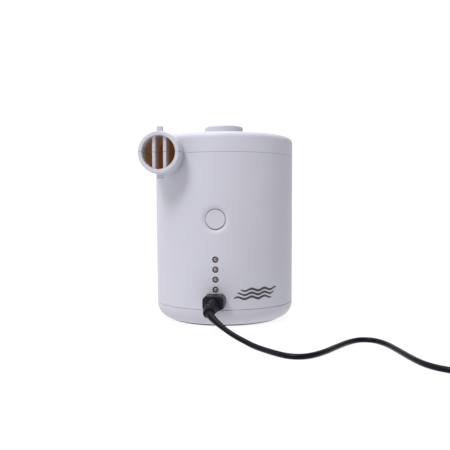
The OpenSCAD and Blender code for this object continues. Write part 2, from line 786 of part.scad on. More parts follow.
function battery_lead_route(s) = [
    [s * 21.5, 10.8, 15.4], [s * 21.2, 5, 16.6], [s * 18.5, -3, 18.2], [s * 13.5, -12, 19],
    [s * 7.5, -20, 18.8], [s * 3, -25, 18.4], [s * 2.6, -29, 18]];

module motor_lead_red() color([0.75, 0.1, 0.08]) inner_wire(motor_lead_route(1));
module motor_lead_black() color(black_plastic) inner_wire(motor_lead_route(-1));
module battery_lead_red() color([0.75, 0.1, 0.08]) inner_wire(battery_lead_route(1));
module battery_lead_black() color(black_plastic) inner_wire(battery_lead_route(-1));

// ---- Housing screws -----------------------------------------------------------------

module cover_screws() color(steel)
    at_cover_screws() translate([0, 0, deck_z - lug_drop]) screw(2.8, 2, cover_shank_r, 18);

module base_screws() color(steel)
    at_base_screws() translate([0, 0, base_recess_top]) screw(2.7, 2, base_shank_r, 13.6);

// ---- Charging lead ------------------------------------------------------------------

// The block's end, with wide cuts at its lower corners
module plug_outline() {
    w = plug_w / 2;
    h = plug_h / 2;
    polygon([[-w + 3.4, -h], [w - 3.4, -h], [w, -h + 1.8], [w, h - 1.6],
        [w - 1.6, h], [-w + 1.6, h], [-w, h - 1.6], [-w, -h + 1.8]]);
}

module plug_block() color(black_plastic)
    difference() {
        facing_front(0, plug_back, socket_z + plug_rise) linear_extrude(plug_len) plug_outline();
        facing_front(0, plug_back + 1, socket_z) cylinder(r = barrel_r, h = 4);
    }

module plug_barrel() color(steel)
    facing_front(0, 0, socket_z) tube(barrel_r, 1.3, 37.6, -plug_back + 3);

module strain_relief() color(black_plastic)
    facing_front(0, 0, socket_z) {
        start = -relief_start;
        len = relief_start - relief_end;
        rib = len / 6;
        rotate_extrude() polygon(concat([[0, start]],
            [for (i = [0:5], p = [[0, 0.1], [0, 0.55], [-0.55, 0.6], [-0.55, 1]])
                [4.1 - 0.18 * i + p[0], start + rib * (i + p[1])]],
            [[0, -relief_end]]));
    }

module lead_cord() color(black_plastic) swept_tube(smooth_route(cord_route, 2), cord_r, 8, [0, 0, 1]);
module lead_tail() color(black_plastic) swept_tube(smooth_route(tail_route, 2), cord_r, 8, [0, 0, 1]);

module lead_coil() color(black_plastic) translate([coil_x, coil_y, 0]) tube(coil_r_out, coil_r_in, 0, coil_h);

module coil_tie() color([0.12, 0.12, 0.13])
    translate([coil_x - tie_w / 2, coil_y + coil_r_in - tie_t, 0]) difference() {
        cube([tie_w, coil_r_out - coil_r_in + 2 * tie_t, coil_h + tie_t]);
        translate([-eps, tie_t, tie_t]) cube([tie_w + 1, coil_r_out - coil_r_in, coil_h - tie_t]);
    }

// Places children in the far plug's own frame: +Y out of its cord end
module at_usb() translate(tail_route[len(tail_route) - 1]) rotate(usb_angle) children();

module usb_body() color(black_plastic)
    at_usb() difference() {
        translate([0, usb_len, 0]) rotate([90, 0, 0])
            linear_extrude(usb_len) cut_corner_rect(usb_w, usb_t, 1.2);
        translate([-usb_shell_w / 2, usb_len - 6, -usb_shell_t / 2]) cube([usb_shell_w, 8, usb_shell_t]);
    }

module usb_shell() color(steel)
    at_usb() translate([0, usb_len - 6, 0]) difference() {
        translate([-usb_shell_w / 2, 0, -usb_shell_t / 2])
            cube([usb_shell_w, usb_shell_len + 6, usb_shell_t]);
        translate([-usb_shell_w / 2 + 0.3, 0.3, -usb_shell_t / 2 + 0.3])
            cube([usb_shell_w - 0.6, usb_shell_len + 6, usb_shell_t - 0.6]);
        for (s = [-1, 1], t = [-1, 1])
            translate([s * 2.9 - 1.1, usb_shell_len - 2, t * usb_shell_t / 2 - 0.6]) cube([2.2, 2.4, 1.2]);
    }

module usb_tongue() color([0.9, 0.9, 0.92])
    at_usb() translate([-usb_shell_w / 2 + 0.3, usb_len - 5.7, -usb_shell_t / 2 + 0.3])
        cube([usb_shell_w - 0.6, usb_shell_len + 4.5, 1.9]);

// ---- Assembly -----------------------------------------------------------------------

main_body();
top_cover();
base_cap();
inlet_grille();
foot_ring();
volute_deck();
scroll_gasket();
impeller();
impeller_bush();
motor_can();
motor_end_cap();
motor_bushes();
motor_shaft();
armature_core();
armature_windings();
commutator();
motor_magnets();
motor_brushes();
motor_terminals();
motor_screws();
cell_left();
cell_right();
battery_tray();
battery_clamp();
clamp_screws();
cell_link();
cell_tabs();
control_board();
control_chip();
power_inductor();
board_capacitors();
wire_connectors();
board_screws();
tact_switch();
tact_plunger();
status_led(1);  // status_led_1
status_led(2);  // status_led_2
status_led(3);  // status_led_3
status_led(4);  // status_led_4
led_legs();
charge_socket();
power_button();
motor_lead_red();
motor_lead_black();
battery_lead_red();
battery_lead_black();
cover_screws();
base_screws();
plug_block();
plug_barrel();
strain_relief();
lead_cord();
lead_tail();
lead_coil();
coil_tie();
usb_body();
usb_shell();
usb_tongue();
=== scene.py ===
"""Looks of a hand-sized rechargeable air pump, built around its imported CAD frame. Metres, +Z up."""
import json
import math

import bmesh
import bpy
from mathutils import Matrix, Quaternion, Vector


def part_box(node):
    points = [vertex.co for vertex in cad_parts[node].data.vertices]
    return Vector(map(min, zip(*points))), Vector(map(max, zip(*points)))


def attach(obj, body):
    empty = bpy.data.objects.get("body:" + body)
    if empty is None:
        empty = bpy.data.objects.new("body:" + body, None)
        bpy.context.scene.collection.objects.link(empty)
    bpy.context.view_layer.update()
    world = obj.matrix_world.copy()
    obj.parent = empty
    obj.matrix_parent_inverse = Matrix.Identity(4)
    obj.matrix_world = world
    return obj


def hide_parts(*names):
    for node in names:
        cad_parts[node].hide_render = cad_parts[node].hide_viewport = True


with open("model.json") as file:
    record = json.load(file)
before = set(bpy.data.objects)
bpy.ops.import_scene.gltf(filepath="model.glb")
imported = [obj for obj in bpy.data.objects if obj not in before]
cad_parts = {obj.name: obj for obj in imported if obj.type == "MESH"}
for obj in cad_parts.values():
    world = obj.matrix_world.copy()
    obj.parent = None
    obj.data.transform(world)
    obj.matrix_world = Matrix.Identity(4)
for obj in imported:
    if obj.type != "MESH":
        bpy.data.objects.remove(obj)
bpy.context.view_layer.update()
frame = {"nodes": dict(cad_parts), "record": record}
NODES = frame["nodes"]
MM = 0.001


def mm(*numbers):
    """A point given in millimetres."""
    return Vector(numbers) * MM


def middle_z(node):
    """The height of the middle of a CAD node."""
    low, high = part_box(node)
    return (low.z + high.z) / 2


# ---- Places taken from the frame ----

MOUNTS = {m["name"]: m for m in frame["record"]["mounts"]}
INLET = MOUNTS["inlet_port"]
OUTLET = MOUNTS["outlet_port"]
body_low, body_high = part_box("main_body")
button_low, button_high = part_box("power_button")
plug_low, plug_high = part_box("plug_block")

BODY_R = body_high.x           # the body's radius at the cover seam
SEAM_Z = body_high.z
BASE_SEAM_Z = body_low.z
BASE_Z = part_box("base_cap")[0].z
INLET_LIFT = 3.6 * MM          # from the cover's top face up to the inlet mount
TOP_Z = INLET["pos_m"][2] - INLET_LIFT
COLLAR_R = INLET["dims"]["r_mm"] * MM
COLLAR_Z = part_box("top_cover")[1].z
NOZZLE_X = OUTLET["pos_m"][0]
NOZZLE_Z = OUTLET["pos_m"][2]
NOZZLE_R = OUTLET["dims"]["r_mm"] * MM
NOZZLE_FRONT = body_low.y
BUTTON_Z = middle_z("power_button")
PLUG_Z = middle_z("plug_block")
SOCKET_Z = middle_z("plug_barrel")
LED_ZS = [middle_z(f"status_led_{i}") for i in (1, 2, 3, 4)]

# ---- Sizes ----

WALL = 2.2 * MM
DRAFT = 0.0068                 # radius lost per height, going down
SEAM_HALF_GAP = 0.05 * MM      # of the cover seam
NOZZLE_HALF_GAP = 0.12 * MM    # of the same seam where it crosses the nozzle
BASE_HALF_GAP = 0.12 * MM
SEAM_EDGE = 0.22 * MM          # rounding of the shells' edges at the seams and holes
TOP_EDGE_R = 4 * MM
COLLAR_EDGE_R = 1.1 * MM
SEAT_GAP = 0.02 * MM           # round the inlet grille
SEAT_LIP = 0.9 * MM            # the grille's ledge
SKIRT_LEN = 4 * MM             # the tube under the inlet
SKIRT_WALL = 1.3 * MM
BASE_EDGE_R = 10.4 * MM
BASE_PLATE = 2.4 * MM
FOOT_GROOVE_R = 27 * MM        # inner radius of the foot's groove
BOSS_AWAY = 37 * MM            # from the axis to the base's screws
BOSS_R = 4.6 * MM
BOSS_TOP = 14 * MM
RECESS_R = 3.1 * MM
RECESS_TOP = 8 * MM
NOZZLE_BORE_R = 10.6 * MM
NOZZLE_START = 8 * MM          # where the nozzle and its bore start in front of the axis
BORE_START = 6 * MM
MOUTH_EDGE_R = 0.8 * MM
SPIGOT_LEN = 3.6 * MM
SPIGOT_STEP = 0.3 * MM
LUG_SIZE = (3.5 * MM, 3.4 * MM, 3.3 * MM)  # width, length along the nozzle, height
LUG_BACK = SPIGOT_LEN + LUG_SIZE[1] / 2  # from the nozzle's mouth to the middle of the lugs
LUG_ROOT = 1.5 * MM            # how far the lugs start under the nozzle's surface
BAR_T = 2.1 * MM
BAR_PITCH = 7 * MM
BAR_DEPTH = 10 * MM
BAR_RECESS = 2.6 * MM
BAR_ROOT = 0.3 * MM            # how far the bars' ends run into the nozzle's wall
BUTTON_R = 6.3 * MM
BUTTON_FLANGE = 1.2 * MM
BUTTON_HOLE_R = 6.6 * MM
DISH_R = 9.4 * MM
DISH_DEPTH = 1.3 * MM
DISH_BEND = 0.6                # how much the dish flattens towards the button
LED_HOLE_R = 2 * MM
LENS_R = 1.75 * MM
LENS_FLANGE = 1 * MM
SOCKET_HOLE_R = 3.3 * MM
MARK_START = 11.8 * MM         # distances round the body from its front
MARK_END = 43.5 * MM
MARK_Z = 21.8 * MM
MARK_PITCH = 2.5 * MM
MARK_STAGGER = 2.2 * MM
MARK_WAVE = 0.65 * MM
MARK_PERIOD = 9.5 * MM
MARK_STROKE = 1.7 * MM
MARK_TIP = 0.35                # share of the stroke's width that is left at its ends
MARK_SUNK = -0.1 * MM          # heights of its two sides over the body
MARK_PROUD = 0.03 * MM
PLUG_CUT = 1.8 * MM            # the plug's cut corners, and the wider lower ones
PLUG_LOW_CUT = 3.4 * MM
RIBBED = 19.5 * MM             # length of the strain relief's ribs from inside the plug
RIBS = 6
RIB_R = 4.6 * MM
RIB_TAPER = 1.1 * MM           # radius lost over the ribs
RIB_DEPTH = 0.6 * MM
GROOVE_LEVEL = 0.2             # a wave over this is a groove, just under half of each rib's length
SLEEVE_R = 2.3 * MM
SLEEVE_TAPER = 0.05            # radius lost per length
SLEEVE_END_R = 1.62 * MM
USB_SIZE = (15.6 * MM, 8 * MM, 32 * MM)  # the far plug's grip: width, thickness, length
USB_TURN = 18.4                # degrees from +Y
USB_CUT = 1.2 * MM
GROOVE_SIZE = (10 * MM, 1 * MM, 0.35 * MM)  # the grip's grooves: length, width, depth
GROOVE_START = 5 * MM
GROOVE_PITCH = 2.2 * MM
GROOVES = 5
CORD_D = 3 * MM
CUTTER_REACH = 2 * MM          # how far cutters go past the faces that they cut
TINY = 0.001 * MM
SHELL_CREASE = 30              # degrees; a sharper edge is left unsmoothed

# ---- Camera ----

CAMERA_PLACE = mm(51.17, -413.37, 74.89)
CAMERA_HEADING = math.radians(7)  # turned from +Y towards -X
CAMERA_PITCH = math.radians(1.43)  # looking down
CAMERA_ROLL = math.radians(-0.29)
CAMERA_LENS = 46.95


def new_object(name, data):
    """A new object in the scene's own collection."""
    thing = bpy.data.objects.new(name, data)
    bpy.context.scene.collection.objects.link(thing)
    return thing


def make_camera():
    """The photo's view, from in front and a little to the right."""
    data = bpy.data.cameras.new("camera")
    data.lens = CAMERA_LENS
    data.sensor_width = 36
    data.clip_start = 0.01
    camera = new_object("camera", data)
    look = Vector((-math.sin(CAMERA_HEADING) * math.cos(CAMERA_PITCH),
                   math.cos(CAMERA_HEADING) * math.cos(CAMERA_PITCH),
                   -math.sin(CAMERA_PITCH)))
    camera.location = CAMERA_PLACE
    camera.rotation_mode = "QUATERNION"
    camera.rotation_quaternion = look.to_track_quat("-Z", "Y") @ Quaternion((0, 0, 1), CAMERA_ROLL)
    bpy.context.scene.camera = camera


make_camera()

# ---- Mesh tools ----


def add_piece(name, verts, faces, material, crease=32):
    """A new mesh object with smooth faces and sharp edges over the crease angle."""
    mesh = bpy.data.meshes.new(name)
    mesh.from_pydata([tuple(v) for v in verts], [], faces)
    tidy_normals(mesh)
    finish_mesh(mesh, crease)
    piece = new_object(name, mesh)
    piece.data.materials.append(material)
    return piece


def tidy_normals(mesh):
    """Joins doubled points and turns every face outwards."""
    work = bmesh.new()
    work.from_mesh(mesh)
    bmesh.ops.remove_doubles(work, verts=work.verts, dist=1e-7)
    bmesh.ops.recalc_face_normals(work, faces=work.faces)
    work.to_mesh(mesh)
    work.free()


def even_normals(piece):
    """Lets flat faces keep their own normals next to their rounded edges."""
    piece.modifiers.new("even", "WEIGHTED_NORMAL").keep_sharp = True
    graph = bpy.context.evaluated_depsgraph_get()
    made = bpy.data.meshes.new_from_object(piece.evaluated_get(graph))
    piece.modifiers.clear()
    piece.data = made
    return piece


def finish_mesh(mesh, crease):
    """Smooths the faces and leaves edges over the crease angle sharp."""
    mesh.shade_smooth()
    mesh.set_sharp_from_angle(angle=math.radians(crease))


def boolean(piece, tool, operation):
    """Joins or cuts the piece with a tool, which is used up; new faces keep the tool's material."""
    step = piece.modifiers.new("step", "BOOLEAN")
    step.solver = "EXACT"
    step.material_mode = "TRANSFER"
    step.operation = operation
    step.object = tool
    graph = bpy.context.evaluated_depsgraph_get()
    made = bpy.data.meshes.new_from_object(piece.evaluated_get(graph))
    piece.modifiers.clear()
    piece.data = made
    bpy.data.objects.remove(tool)


def trim(piece, point, normal):
    """Cuts away what lies beyond a plane and closes the cut."""
    work = bmesh.new()
    work.from_mesh(piece.data)
    geometry = [*work.verts, *work.edges, *work.faces]
    cut = bmesh.ops.bisect_plane(work, geom=geometry, plane_co=point, plane_no=normal, clear_outer=True)
    edges = [e for e in cut["geom_cut"] if isinstance(e, bmesh.types.BMEdge)]
    bmesh.ops.edgeloop_fill(work, edges=edges)
    bmesh.ops.recalc_face_normals(work, faces=work.faces)
    work.to_mesh(piece.data)
    work.free()
    return piece


def rounded(corners, closed=False, steps=5):
    """Outline through (x, y, radius) corners, each rounded by an arc of its radius."""
    n = len(corners)
    outline = []
    for i, (x, y, radius) in enumerate(corners):
        here = Vector((x, y))
        if radius == 0 or (not closed and i in (0, n - 1)):
            outline.append(here)
            continue
        to_last = (Vector(corners[i - 1][:2]) - here).normalized()
        to_next = (Vector(corners[(i + 1) % n][:2]) - here).normalized()
        half = to_last.angle(to_next) / 2
        centre = here + (to_last + to_next).normalized() * (radius / math.sin(half))
        first = here + to_last * (radius / math.tan(half)) - centre
        last = here + to_next * (radius / math.tan(half)) - centre
        turn = first.angle_signed(last)
        for k in range(steps + 1):
            spin = -turn * k / steps
            outline.append(centre + Vector((first.x * math.cos(spin) - first.y * math.sin(spin),
                                            first.x * math.sin(spin) + first.y * math.cos(spin))))
    return outline


def rectangle(x0, y0, x1, y1, radius, steps=5):
    """Outline of a rectangle with rounded corners."""
    return rounded([(x0, y0, radius), (x1, y0, radius), (x1, y1, radius), (x0, y1, radius)],
                   closed=True, steps=steps)


def cut_rectangle(w, h, cut, low_cut, radius):
    """Outline of a rectangle of two half sides with cut corners, the lower two on their own."""
    return rounded([(x, y, radius) for x, y in [
        (-w + low_cut, -h), (w - low_cut, -h), (w, -h + cut), (w, h - cut),
        (w - cut, h), (-w + cut, h), (-w, h - cut), (-w, -h + cut)]], closed=True)


def lathe(profile, place, segments=96, closed=False):
    """Vertices and faces of a (radius, height) profile turned about an axis."""
    verts, faces, rows = [], [], []
    for radius, height in profile:
        if radius < 1e-7:
            rows.append([len(verts)] * segments)
            verts.append(place(0, 0, height))
            continue
        rows.append(list(range(len(verts), len(verts) + segments)))
        for k in range(segments):
            turn = 2 * math.pi * k / segments
            verts.append(place(radius * math.cos(turn), radius * math.sin(turn), height))
    pairs = list(zip(rows, rows[1:]))
    if closed:
        pairs.append((rows[-1], rows[0]))
    for low, high in pairs:
        for k in range(segments):
            nxt = (k + 1) % segments
            face = list(dict.fromkeys((low[k], low[nxt], high[nxt], high[k])))
            if len(face) > 2:
                faces.append(face)
    return verts, faces


def upright(x0=0, y0=0):
    """Places a turned shape about an upright axis."""
    return lambda x, y, height: Vector((x0 + x, y0 + y, height))


def facing_front(x0, y0, z0):
    """Places a turned shape about an axis that runs from (x0, y0, z0) towards -Y."""
    return lambda x, y, height: Vector((x0 + x, y0 - height, z0 + y))


def soft_block(outline, low, high, edge, place, steps=4):
    """Vertices and faces of a convex outline drawn out between two heights, its rims rounded."""
    n = len(outline)
    normals = []
    for i in range(n):
        along = (outline[(i + 1) % n] - outline[i - 1]).normalized()
        normals.append(Vector((along.y, -along.x)))
    area = sum(outline[i - 1].cross(outline[i]) for i in range(n))
    outward = 1 if area > 0 else -1
    rings = []
    for k in range(steps + 1):
        turn = math.pi / 2 * k / steps
        rings.append((edge * (1 - math.sin(turn)), low + edge * (1 - math.cos(turn))))
    rings += [(inset, high + low - height) for inset, height in reversed(rings)]
    verts, faces = [], []
    for inset, height in rings:
        for point, normal in zip(outline, normals):
            moved = point - normal * inset * outward
            verts.append(place(moved.x, moved.y, height))
    for j in range(len(rings) - 1):
        for i in range(n):
            k = (i + 1) % n
            faces.append((j * n + i, j * n + k, (j + 1) * n + k, (j + 1) * n + i))
    faces.append(tuple(range(n)))
    faces.append(tuple(range((len(rings) - 1) * n, len(rings) * n)))
    return verts, faces


def merged(*shapes):
    """Several shapes as one list of vertices and one of faces."""
    verts, faces = [], []
    for part_verts, part_faces in shapes:
        start = len(verts)
        verts += part_verts
        faces += [tuple(start + i for i in face) for face in part_faces]
    return verts, faces


def smooth_route(points, parts):
    """A Catmull-Rom curve through the points, with each span cut into parts."""
    route = []
    for i in range(len(points) - 1):
        a, b = points[max(i - 1, 0)], points[i]
        c, d = points[i + 1], points[min(i + 2, len(points) - 1)]
        for k in range(parts):
            t = k / parts
            route.append((2 * b + (c - a) * t + (2 * a - 5 * b + 4 * c - d) * t ** 2
                          + (3 * b - a - 3 * c + d) * t ** 3) / 2)
    return route + [points[-1]]


def sweep(route, radii, sides=24):
    """Vertices and faces of a closed round rod along a route, with a radius at each point."""
    verts, faces = [], []
    n = len(route)
    across = None
    for i, (point, radius) in enumerate(zip(route, radii)):
        along = (route[min(i + 1, n - 1)] - route[max(i - 1, 0)]).normalized()
        across = across or along.orthogonal().normalized()
        across = (across - along * across.dot(along)).normalized()
        other = along.cross(across)
        for k in range(sides):
            turn = 2 * math.pi * k / sides
            verts.append(point + (across * math.cos(turn) + other * math.sin(turn)) * radius)
    for j in range(n - 1):
        for k in range(sides):
            nxt = (k + 1) % sides
            faces.append((j * sides + k, j * sides + nxt, (j + 1) * sides + nxt, (j + 1) * sides + k))
    faces.append(tuple(range(sides)))
    faces.append(tuple(range((n - 1) * sides, n * sides)))
    return verts, faces


# ---- Materials ----


def map_range(tree, value, start, end, low=0, high=1, smooth=True):
    """Turns a number between start and end to one between low and high."""
    node = tree.nodes.new("ShaderNodeMapRange")
    node.interpolation_type = "SMOOTHSTEP" if smooth else "LINEAR"
    for name, number in [("From Min", start), ("From Max", end), ("To Min", low), ("To Max", high)]:
        node.inputs[name].default_value = number
    tree.links.new(value, node.inputs["Value"])
    return node.outputs["Result"]


NOISE_SPAN = (0.3, 0.7)        # where nearly all of a noise texture's values lie
ROUGHNESS_SCALE = 900
SHELL_GRAIN = (0.006 * MM, 2600)
SHELL_COLOURS = ((0.512, 0.508, 0.582), (0.536, 0.532, 0.608))


class Finish:
    """A Principled material whose colour, roughness and relief come from noise."""

    def __init__(self, name, roughness, metallic=0.0, coat=0.0, transmission=0.0, ior=1.45, gloss=0.5):
        self.material = bpy.data.materials.new(name)
        self.material.use_nodes = True
        self.tree = self.material.node_tree
        self.nodes, self.links = self.tree.nodes, self.tree.links
        self.shader = self.nodes["Principled BSDF"]
        for socket, value in [("Metallic", metallic), ("IOR", ior), ("Specular IOR Level", gloss),
                              ("Coat Weight", coat), ("Transmission Weight", transmission)]:
            self.shader.inputs[socket].default_value = value
        self.place = self.nodes.new("ShaderNodeTexCoord").outputs["Object"]
        self.spread("Roughness", roughness, ROUGHNESS_SCALE)

    def noise(self, scale, detail=3.0):
        """A noise pattern over the piece."""
        node = self.nodes.new("ShaderNodeTexNoise")
        node.inputs["Scale"].default_value = scale
        node.inputs["Detail"].default_value = detail
        self.links.new(self.place, node.inputs["Vector"])
        return node.outputs["Fac"]

    def spread(self, socket, span, scale):
        """Lets a number wander between two values."""
        number = map_range(self.tree, self.noise(scale), *NOISE_SPAN, *span, smooth=False)
        self.links.new(number, self.shader.inputs[socket])

    def colours(self, low, high, driver=None, scale=60, edge=NOISE_SPAN):
        """Blends two colours by a pattern, or by noise."""
        ramp = self.nodes.new("ShaderNodeValToRGB")
        for element, position, colour in zip(ramp.color_ramp.elements, edge, (low, high)):
            element.position = position
            element.color = (*colour, 1)
        self.links.new(driver or self.noise(scale), ramp.inputs["Fac"])
        self.links.new(ramp.outputs["Color"], self.shader.inputs["Base Color"])
        return self

    def relief(self, depth, scale=0, driver=None):
        """Raises and lowers the surface a little, by a pattern or by noise."""
        bump = self.nodes.new("ShaderNodeBump")
        bump.inputs["Strength"].default_value = 1.0
        bump.inputs["Distance"].default_value = depth
        self.links.new(driver or self.noise(scale, detail=4.0), bump.inputs["Height"])
        self.links.new(bump.outputs["Normal"], self.shader.inputs["Normal"])
        return self

    def glow(self, colour, driver):
        """Light given off, as strong as a pattern says."""
        self.shader.inputs["Emission Color"].default_value = (*colour, 1)
        self.links.new(driver, self.shader.inputs["Emission Strength"])
        return self

    def near(self, point, inside, outside):
        """0 within one distance of a point and 1 beyond another."""
        gap = self.nodes.new("ShaderNodeVectorMath")
        gap.operation = "DISTANCE"
        gap.inputs[1].default_value = point
        self.links.new(self.place, gap.inputs[0])
        return map_range(self.tree, gap.outputs["Value"], inside, outside)

    def bands(self, direction, scale, distortion):
        """Fine waves across one direction."""
        node = self.nodes.new("ShaderNodeTexWave")
        node.bands_direction = direction
        node.inputs["Scale"].default_value = scale
        node.inputs["Distortion"].default_value = distortion
        self.links.new(self.place, node.inputs["Vector"])
        return node.outputs["Fac"]

    def along(self, axis, start, end):
        """0 at start and 1 at end of one axis."""
        split = self.nodes.new("ShaderNodeSeparateXYZ")
        self.links.new(self.place, split.inputs["Vector"])
        return map_range(self.tree, split.outputs[axis], start, end)


def shell_white():
    """The shells' cool white plastic, with a fine grain."""
    finish = Finish("shell_white", (0.45, 0.55), gloss=0.35)
    return finish.colours(*SHELL_COLOURS, scale=35).relief(*SHELL_GRAIN).material


def duct_white_painted_shade_glow():
    """White plastic at the nozzle's mouth that darkens to brown deeper in the duct, as painted shade, with
    a painted glow that grows with depth.
    """
    finish = Finish("duct_white_painted_shade_glow", (0.4, 0.5))
    depth = finish.along("Y", NOZZLE_FRONT + 3 * MM, NOZZLE_FRONT + 19 * MM)
    # Painted shade and painted glow: the depth ramp darkens the colour towards brown and drives the
    # emission.
    finish.colours((0.52, 0.50, 0.55), (0.22, 0.12, 0.06), driver=depth, edge=(0, 1))
    return finish.glow((0.085, 0.040, 0.017), depth).relief(*SHELL_GRAIN).material


def duct_brown_painted_glow():
    """The blower's insides: brown, with a painted glow that stands in for the light coming through the
    shells.
    """
    finish = Finish("duct_brown_painted_glow", (0.45, 0.6))
    finish.colours((0.10, 0.05, 0.018), (0.26, 0.135, 0.05), scale=420)
    # The noise drives a painted glow: emission on parts that are no lamp.
    return finish.glow((0.125, 0.050, 0.016), finish.noise(520)).relief(0.02 * MM, 900).material


def led_lens():
    """Clear resin, tinted by the light's cup behind it, with the dark foot of its wire off centre."""
    finish = Finish("led_lens", (0.05, 0.10), ior=1.5, transmission=0.1)
    wire = finish.near((0.55 * MM, 0, 0.3 * MM), 0.35 * MM, 0.8 * MM)
    finish.colours((0.07, 0.055, 0.06), (0.40, 0.335, 0.36), driver=wire, edge=(0, 1))
    return finish.relief(0.004 * MM, 900).material


def plain(name, low, high, roughness, scale=120, grain=(0.008 * MM, 1800), **finish):
    """A moulded, painted or cast surface: two close colours and a fine grain."""
    return Finish(name, roughness, **finish).colours(low, high, scale=scale).relief(*grain).material


def brushed(name, low, high, roughness, scale=900, depth=0.004 * MM, **finish):
    """A metal or wound surface with fine lines round it."""
    made = Finish(name, roughness, **finish)
    lines = made.bands("Z", scale, 2.0)
    return made.colours(low, high, driver=lines, edge=(0, 1)).relief(depth, driver=lines).material


def board_green():
    """Solder mask with faint copper tracks under it."""
    finish = Finish("board", (0.25, 0.35), coat=0.3)
    tracks = finish.bands("DIAGONAL", 160, 6.0)
    finish.colours((0.010, 0.085, 0.035), (0.018, 0.150, 0.060), driver=tracks, edge=(0.45, 0.55))
    return finish.relief(0.02 * MM, driver=tracks).material


def slot_of(material):
    """A material's slot: its name without the number that Blender may add."""
    return material.name.split(".")[0]


MATERIALS = {slot_of(made): made for made in [
    shell_white(),
    board_green(),
    plain("trim_white", *SHELL_COLOURS, (0.32, 0.42)),
    plain("button_white", (0.508, 0.503, 0.576), (0.530, 0.525, 0.598), (0.30, 0.38)),
    plain("black_plastic", (0.010, 0.010, 0.012), (0.018, 0.018, 0.020), (0.4, 0.55),
          gloss=0.3),
    plain("cord_black", (0.002, 0.003, 0.007), (0.004, 0.005, 0.011), (0.26, 0.36),
          grain=(0.02 * MM, 900), gloss=0.14),
    plain("plug_black", (0.010, 0.008, 0.013), (0.017, 0.014, 0.021), (0.3, 0.4),
          grain=(0.015 * MM, 1400), gloss=0.2),
    plain("relief_black", (0.003, 0.003, 0.005), (0.006, 0.006, 0.009), (0.3, 0.38),
          grain=(0.015 * MM, 1400), gloss=0.15),
    plain("printed_mark", (0.050, 0.048, 0.058), (0.066, 0.064, 0.076), (0.45, 0.6),
          scale=900),
    plain("foot_rubber", (0.02, 0.02, 0.02), (0.035, 0.035, 0.035), (0.7, 0.85),
          grain=(0.03 * MM, 900)),
    plain("gasket_foam", (0.02, 0.02, 0.02), (0.06, 0.06, 0.06), (0.85, 0.95),
          scale=1500, grain=(0.12 * MM, 1500)),
    plain("fan_plastic", (0.72, 0.71, 0.66), (0.78, 0.77, 0.72), (0.35, 0.45)),
    brushed("steel", (0.52, 0.53, 0.55), (0.66, 0.67, 0.69), (0.22, 0.34), metallic=1.0),
    brushed("motor_zinc", (0.50, 0.51, 0.53), (0.62, 0.63, 0.65), (0.28, 0.42),
            metallic=1.0),
    brushed("lamination", (0.20, 0.20, 0.21), (0.42, 0.42, 0.44), (0.35, 0.5), scale=630,
            depth=0.03 * MM, metallic=1.0),
    brushed("copper", (0.55, 0.20, 0.08), (0.82, 0.38, 0.20), (0.25, 0.35), scale=800,
            depth=0.03 * MM, metallic=1.0),
    brushed("brass", (0.62, 0.44, 0.16), (0.76, 0.57, 0.25), (0.25, 0.38), metallic=1.0),
    plain("magnet", (0.07, 0.07, 0.075), (0.13, 0.13, 0.135), (0.55, 0.7), scale=600),
    plain("carbon", (0.02, 0.02, 0.02), (0.05, 0.05, 0.05), (0.6, 0.8), scale=900),
    plain("cell_sleeve", (0.03, 0.22, 0.36), (0.04, 0.27, 0.43), (0.2, 0.3), coat=0.4),
    plain("chip", (0.015, 0.015, 0.016), (0.03, 0.03, 0.031), (0.5, 0.65), scale=700),
    plain("capacitor", (0.02, 0.035, 0.09), (0.03, 0.05, 0.12), (0.25, 0.35), coat=0.3),
    plain("connector", (0.68, 0.66, 0.58), (0.74, 0.72, 0.64), (0.4, 0.5)),
    plain("wire_red", (0.45, 0.02, 0.015), (0.55, 0.03, 0.02), (0.35, 0.45)),
    plain("wire_black", (0.012, 0.012, 0.013), (0.022, 0.022, 0.024), (0.35, 0.45)),
    brushed("contact_metal", (0.60, 0.60, 0.59), (0.74, 0.74, 0.73), (0.2, 0.3),
            metallic=1.0),
]}
MATERIALS["led_clear"] = led_lens()
BLOWER_NODES = ("volute_deck", "impeller", "scroll_gasket")
DUCT_BROWN_PAINTED_GLOW = duct_brown_painted_glow()
DUCT_WHITE_PAINTED_SHADE_GLOW = duct_white_painted_shade_glow()


def dress_cad_nodes():
    """Gives every CAD node the detailed material of its slot; the blower's insides get the brown with its
    painted glow.
    """
    for name, node in NODES.items():
        slot = slot_of(node.data.materials[0])
        node.data.materials[0] = DUCT_BROWN_PAINTED_GLOW if name in BLOWER_NODES else MATERIALS[slot]


dress_cad_nodes()

# ---- Charging cord ----

# The route from the strain relief, over the surface, to the coil
CORD_ROUTE = [mm(*p) for p in [
    (0, -75, 15.8), (0.5, -77.6, 15), (1.8, -80, 13.8), (3.9, -82.2, 12.3), (6.5, -84.6, 10.7),
    (10, -87.4, 8.7), (14, -90.5, 6.7), (18.5, -93.6, 4.9), (23.5, -97.2, 3.3), (28.5, -101.5, 2.1),
    (34.2, -107, 1.6), (41, -114, 1.5), (47, -118.4, 1.5), (53, -118.9, 1.5), (59, -115.2, 1.5),
    (65.4, -107, 1.5), (72.2, -95.4, 1.5), (79, -84.4, 1.5), (86.2, -77.4, 1.5), (93.6, -78, 1.5),
    (99.2, -86.2, 1.5), (103, -98.9, 1.5), (106.5, -113.2, 1.5), (110, -124.4, 1.5), (114, -131.4, 1.5),
    (118.5, -135.6, 1.5), (123, -138, 1.5), (129, -139.8, 1.5), (137, -140.5, 1.5),
    (145, -140.6, 1.7), (153, -140.5, 2.1)]]
